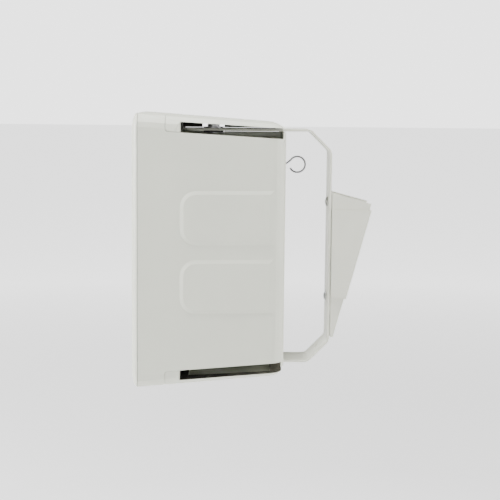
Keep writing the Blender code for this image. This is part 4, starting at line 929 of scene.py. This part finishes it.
class SPEAKER_OT_yoke(PieceOperator, bpy.types.Operator):
    """Swivel yoke of bent flat bar with rounded tips and drilled corners"""

    bl_idname = "speaker.yoke"
    bl_label = "Yoke"

    def execute(self, context):
        sizes = bracket()
        made = bent_bar()
        compare_box(made, "yoke", BOX_SLACK)
        low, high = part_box("yoke")
        middle = (low.z + high.z) / 2
        corners = made.data.vertices

        def tip_edge(edge):
            first, second = (corners[index].co for index in edge.vertices)
            short = abs(first.x - second.x) < MERGE and abs(first.y - second.y) < MERGE
            return short and abs(first.y - low.y) < MERGE

        choose(made, "EDGE", tip_edge)
        bpy.ops.mesh.bevel(offset=sizes.tip, segments=TIP_STEPS, affect="EDGES")
        bpy.ops.object.mode_set(mode="OBJECT")
        through = 4 * sizes.bar
        back_y = high.y - sizes.bar / 2
        corner_y = back_y - sizes.setback / 2 + CHORD_SHIFT
        corner_z = high.z - sizes.bar / 2 - sizes.setback / 2 + CHORD_SHIFT
        drill(made, sizes.hole, through, (0, corner_y, corner_z), radians(-45))
        drill(made, sizes.hole, through, (0, corner_y, 2 * middle - corner_z), radians(-135))
        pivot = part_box("pivot_screw_upper")
        pivot_y = (pivot[0].y + pivot[1].y) / 2
        arm_z = high.z - sizes.bar / 2
        for height in (arm_z, 2 * middle - arm_z):
            drill(made, PIVOT_HOLE, through, (0, pivot_y, height), 0)
        for bolt in ("wedge_bolt_upper", "wedge_bolt_lower"):
            bolt_low, bolt_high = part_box(bolt)
            drill(made, BOLT_HOLE, through, (0, back_y, (bolt_low.z + bolt_high.z) / 2), pi / 2)
        apply_modifier(
            made, "BEVEL", width=sizes.edge, segments=3, limit_method="ANGLE", angle_limit=radians(50)
        )
        soften(made, 40)
        hand_over(made, "bracket_paint", "bracket", "yoke")
        return {"FINISHED"}


class SPEAKER_OT_wedge_channels(PieceOperator, bpy.types.Operator):
    """Two folded channels that set the yoke at an angle to the wall"""

    bl_idname = "speaker.wedge_channels"
    bl_label = "Wedge channels"

    def execute(self, context):
        worked_copies(("yoke_channel", "wall_channel"), "bracket_paint", edge=0.3 * MM)
        return {"FINISHED"}


class SPEAKER_OT_wedge_fasteners(PieceOperator, bpy.types.Operator):
    """Bolts and nuts that hold the yoke to the wedge"""

    bl_idname = "speaker.wedge_fasteners"
    bl_label = "Wedge fasteners"

    def execute(self, context):
        bolts = ("wedge_bolt_upper", "wedge_bolt_lower", "wedge_nut_upper", "wedge_nut_lower")
        worked_copies(bolts, "zinc", edge=0.15 * MM)
        return {"FINISHED"}


class SPEAKER_OT_pivots(PieceOperator, bpy.types.Operator):
    """Pivot screws, washers, friction washers and their brass inserts"""

    bl_idname = "speaker.pivots"
    bl_label = "Pivots"

    def execute(self, context):
        worked_copies(("pivot_screw_upper", "pivot_screw_lower"), "zinc", edge=0.2 * MM)
        worked_copies(("pivot_washer_upper", "pivot_washer_lower"), "zinc", edge=0.2 * MM)
        worked_copies(("friction_washer_upper", "friction_washer_lower"), "black_plastic", edge=0.2 * MM)
        worked_copies(("threaded_insert_upper", "threaded_insert_lower"), "brass", edge=0.15 * MM)
        return {"FINISHED"}


class SPEAKER_OT_safety_eye(PieceOperator, bpy.types.Operator):
    """Eye of bent wire on the cabinet's back, with its nut"""

    bl_idname = "speaker.safety_eye"
    bl_label = "Safety eye"

    def execute(self, context):
        worked_copy("safety_eye", "zinc", corner=60, finish="wire")
        worked_copy("safety_eye_nut", "zinc", edge=0.15 * MM)
        return {"FINISHED"}


class SPEAKER_OT_terminal_cup(PieceOperator, bpy.types.Operator):
    """Recessed terminal cup with its terminal block"""

    bl_idname = "speaker.terminal_cup"
    bl_label = "Terminal cup"

    def execute(self, context):
        worked_copy("terminal_cup", "black_plastic", edge=0.3 * MM)
        worked_copy("terminal_block", "black_plastic", edge=0.25 * MM)
        return {"FINISHED"}


class SPEAKER_OT_tap_selector(PieceOperator, bpy.types.Operator):
    """Rotary switch for the transformer's taps, with its shaft and knob"""

    bl_idname = "speaker.tap_selector"
    bl_label = "Tap selector"

    def execute(self, context):
        worked_copy("tap_knob", "black_plastic", edge=0.25 * MM)
        worked_copy("tap_switch_body", "black_plastic", edge=0.25 * MM)
        worked_copy("tap_switch_shaft", "zinc", edge=0.15 * MM)
        return {"FINISHED"}


class SPEAKER_OT_woofer(PieceOperator, bpy.types.Operator):
    """Woofer with its frame, magnet, cone, surround, spider and voice coil"""

    bl_idname = "speaker.woofer"
    bl_label = "Woofer"

    def execute(self, context):
        worked_copy("woofer_frame", "basket_paint", edge=0.2 * MM)
        worked_copies(("woofer_top_plate", "woofer_back_plate"), "zinc", edge=0.3 * MM)
        worked_copy("woofer_magnet", "ferrite", edge=0.4 * MM)
        worked_copy("woofer_surround", "soft_rubber", corner=60)
        worked_copies(("woofer_cone", "dust_cap"), "cone_paper", corner=60)
        worked_copy("spider", "spider_cloth", corner=60)
        worked_copy("voice_coil", "copper", corner=50)
        worked_copies([f"woofer_screw_{number}" for number in range(1, 5)], "zinc", edge=0.15 * MM)
        return {"FINISHED"}


class SPEAKER_OT_tweeter(PieceOperator, bpy.types.Operator):
    """Tweeter with its faceplate, dome and magnet"""

    bl_idname = "speaker.tweeter"
    bl_label = "Tweeter"

    def execute(self, context):
        worked_copy("tweeter_faceplate", "black_plastic", edge=0.2 * MM)
        worked_copy("tweeter_dome", "cone_paper", corner=60)
        worked_copy("tweeter_magnet", "ferrite", edge=0.4 * MM)
        return {"FINISHED"}


class SPEAKER_OT_electrics(PieceOperator, bpy.types.Operator):
    """Line transformer and the crossover on its board"""

    bl_idname = "speaker.electrics"
    bl_label = "Transformer and crossover"

    def execute(self, context):
        worked_copy("transformer_core", "lamination_steel", edge=0.2 * MM)
        worked_copy("transformer_winding", "copper", edge=0.6 * MM)
        worked_copy("crossover_board", "board_green")
        worked_copy("crossover_choke", "copper", edge=0.4 * MM)
        worked_copy("crossover_capacitor", "black_plastic", edge=0.3 * MM)
        return {"FINISHED"}


class SPEAKER_OT_baffle(PieceOperator, bpy.types.Operator):
    """Front baffle with its screws, and the felt on the side walls"""

    bl_idname = "speaker.baffle"
    bl_label = "Baffle and felt"

    def execute(self, context):
        worked_copy("front_baffle", "black_plastic")
        worked_copies([f"baffle_screw_{number}" for number in range(1, 5)], "zinc", edge=0.15 * MM)
        worked_copies(("felt_pad_left", "felt_pad_right"), "felt_grey", edge=0.6 * MM)
        return {"FINISHED"}


# ---------------------------------------------------------------- stage


def add_camera(sizes):
    """Camera at the side of the cabinet, a little above it."""
    camera = bpy.data.objects.new("camera", bpy.data.cameras.new("camera"))
    bpy.context.scene.collection.objects.link(camera)
    turn, tilt, roll = sizes.camera_turn, sizes.camera_tilt, sizes.camera_roll
    forward = Vector((-cos(tilt) * cos(turn), cos(tilt) * sin(turn), -sin(tilt)))
    right = forward.cross(Vector((0, 0, 1))).normalized()
    up = right.cross(forward)
    leaning_right = cos(roll) * right + sin(roll) * up
    leaning_up = cos(roll) * up - sin(roll) * right
    place = Matrix((leaning_right, leaning_up, -forward)).transposed().to_4x4()
    place.translation = Vector(sizes.camera_place)
    camera.matrix_world = place
    camera.data.lens = sizes.lens
    camera.data.sensor_width = 36
    camera.data.clip_end = 100
    bpy.context.scene.camera = camera


def add_light(name, place, target, size, power, colour):
    """Soft square light that faces a point."""
    lamp = bpy.data.lights.new(name, "AREA")
    lamp.shape = "SQUARE"
    lamp.size = size
    lamp.energy = power
    lamp.color = colour
    made = bpy.data.objects.new(name, lamp)
    bpy.context.scene.collection.objects.link(made)
    made.location = place
    made.rotation_euler = (Vector(target) - Vector(place)).to_track_quat("-Z", "Y").to_euler()


def lit_floor(sizes):
    """Pale floor that grows brighter away from the object, like the sweep of a studio."""
    pale = Finish("floor_paint", (0.93, 0.93, 0.93), roughness=0.8)
    pale.mottle(pale.noise(0.4, detail=3), amount=0.01)
    nodes, links = pale.tree.nodes, pale.tree.links
    distance = nodes.new("ShaderNodeVectorMath")
    distance.operation = "LENGTH"
    links.new(pale.place, distance.inputs[0])
    pale.set("Emission Color", (1, 1, 1, 1))
    glow = pale.stretch_range(
        distance.outputs["Value"], 0, sizes.edge_light, sizes.glow_start, sizes.glow_end
    )
    pale.feed(glow, "Emission Strength")
    return pale.material


def studio_world(sizes):
    """Light all round, strongest near the horizon."""
    world = bpy.data.worlds.new("studio")
    world.use_nodes = True
    nodes, links = world.node_tree.nodes, world.node_tree.links
    glow = nodes["Background"]
    glow.inputs["Color"].default_value = (1, 1, 1, 1)
    place = nodes.new("ShaderNodeTexCoord")
    split = nodes.new("ShaderNodeSeparateXYZ")
    height = nodes.new("ShaderNodeMapRange")
    height.inputs["From Min"].default_value = sin(HORIZON_LOW)
    height.inputs["From Max"].default_value = sin(HORIZON_HIGH)
    height.inputs["To Min"].default_value = sizes.edge_light + HORIZON_LIFT
    height.inputs["To Max"].default_value = sizes.sky_light
    links.new(place.outputs["Generated"], split.inputs[0])
    links.new(split.outputs["Z"], height.inputs["Value"])
    links.new(height.outputs["Result"], glow.inputs["Strength"])
    return world


class SPEAKER_OT_stage(PieceOperator, bpy.types.Operator):
    """Pale floor, soft light all round and the camera"""

    bl_idname = "speaker.stage"
    bl_label = "Stage"

    def execute(self, context):
        sizes = context.scene.speaker_stage
        low, high = CAD_BOX
        floor = start(
            "floor", bpy.ops.mesh.primitive_plane_add, size=sizes.floor_size,
            location=(0, 0, low.z - sizes.floor_drop),
        )
        bpy.ops.object.mode_set(mode="EDIT")
        bpy.ops.mesh.subdivide(number_cuts=sizes.floor_steps)
        bpy.ops.object.mode_set(mode="OBJECT")
        floor.data.materials.append(lit_floor(sizes))
        context.scene.world = studio_world(sizes)
        middle = (low + high) / 2
        white, warm = (1, 1, 1), (1, 0.99, 0.97)
        add_light(
            "top_light", place=(0.32, -0.25, 2.2), target=middle, size=0.5,
            power=sizes.top_light, colour=white,
        )
        add_light(
            "rear_light", place=(0.28, 1.9, 0.35), target=middle, size=0.7,
            power=sizes.rear_light, colour=warm,
        )
        add_light(
            "front_light", place=(0.42, -2.0, 0.35), target=middle, size=0.4,
            power=sizes.front_light, colour=white,
        )
        add_camera(sizes)
        return {"FINISHED"}


SETTINGS = {
    "speaker_cabinet": CabinetSettings,
    "speaker_bracket": BracketSettings,
    "speaker_stage": StageSettings,
}
OPERATORS = (
    SPEAKER_OT_rear_shell,
    SPEAKER_OT_channel_covers,
    SPEAKER_OT_grille,
    SPEAKER_OT_grille_cloth,
    SPEAKER_OT_yoke,
    SPEAKER_OT_wedge_channels,
    SPEAKER_OT_wedge_fasteners,
    SPEAKER_OT_pivots,
    SPEAKER_OT_safety_eye,
    SPEAKER_OT_terminal_cup,
    SPEAKER_OT_tap_selector,
    SPEAKER_OT_woofer,
    SPEAKER_OT_tweeter,
    SPEAKER_OT_electrics,
    SPEAKER_OT_baffle,
    SPEAKER_OT_stage,
)


class SPEAKER_PT_pieces(bpy.types.Panel):
    """Sidebar panel with the settings and one button for each piece"""

    bl_idname = "SPEAKER_PT_pieces"
    bl_label = "Wall loudspeaker"
    bl_space_type = "VIEW_3D"
    bl_region_type = "UI"
    bl_category = "Loudspeaker"

    def draw(self, context):
        for name, group in SETTINGS.items():
            column = self.layout.column(align=True)
            for field in group.__annotations__:
                column.prop(getattr(context.scene, name), field)
        for operator in OPERATORS:
            self.layout.operator(operator.bl_idname)


def register():
    """Registers the settings, the operators and the panel."""
    for name, group in SETTINGS.items():
        bpy.utils.register_class(group)
        setattr(bpy.types.Scene, name, PointerProperty(type=group))
    for operator in OPERATORS:
        bpy.utils.register_class(operator)
    bpy.utils.register_class(SPEAKER_PT_pieces)


def unregister():
    """Takes back what register does."""
    bpy.utils.unregister_class(SPEAKER_PT_pieces)
    for operator in reversed(OPERATORS):
        bpy.utils.unregister_class(operator)
    for name, group in SETTINGS.items():
        delattr(bpy.types.Scene, name)
        bpy.utils.unregister_class(group)


def main():
    """Builds every piece and the stage in order."""
    register()
    for operator in OPERATORS:
        group, name = operator.bl_idname.split(".")
        getattr(getattr(bpy.ops, group), name)()


if __name__ == "__main__":
    main()
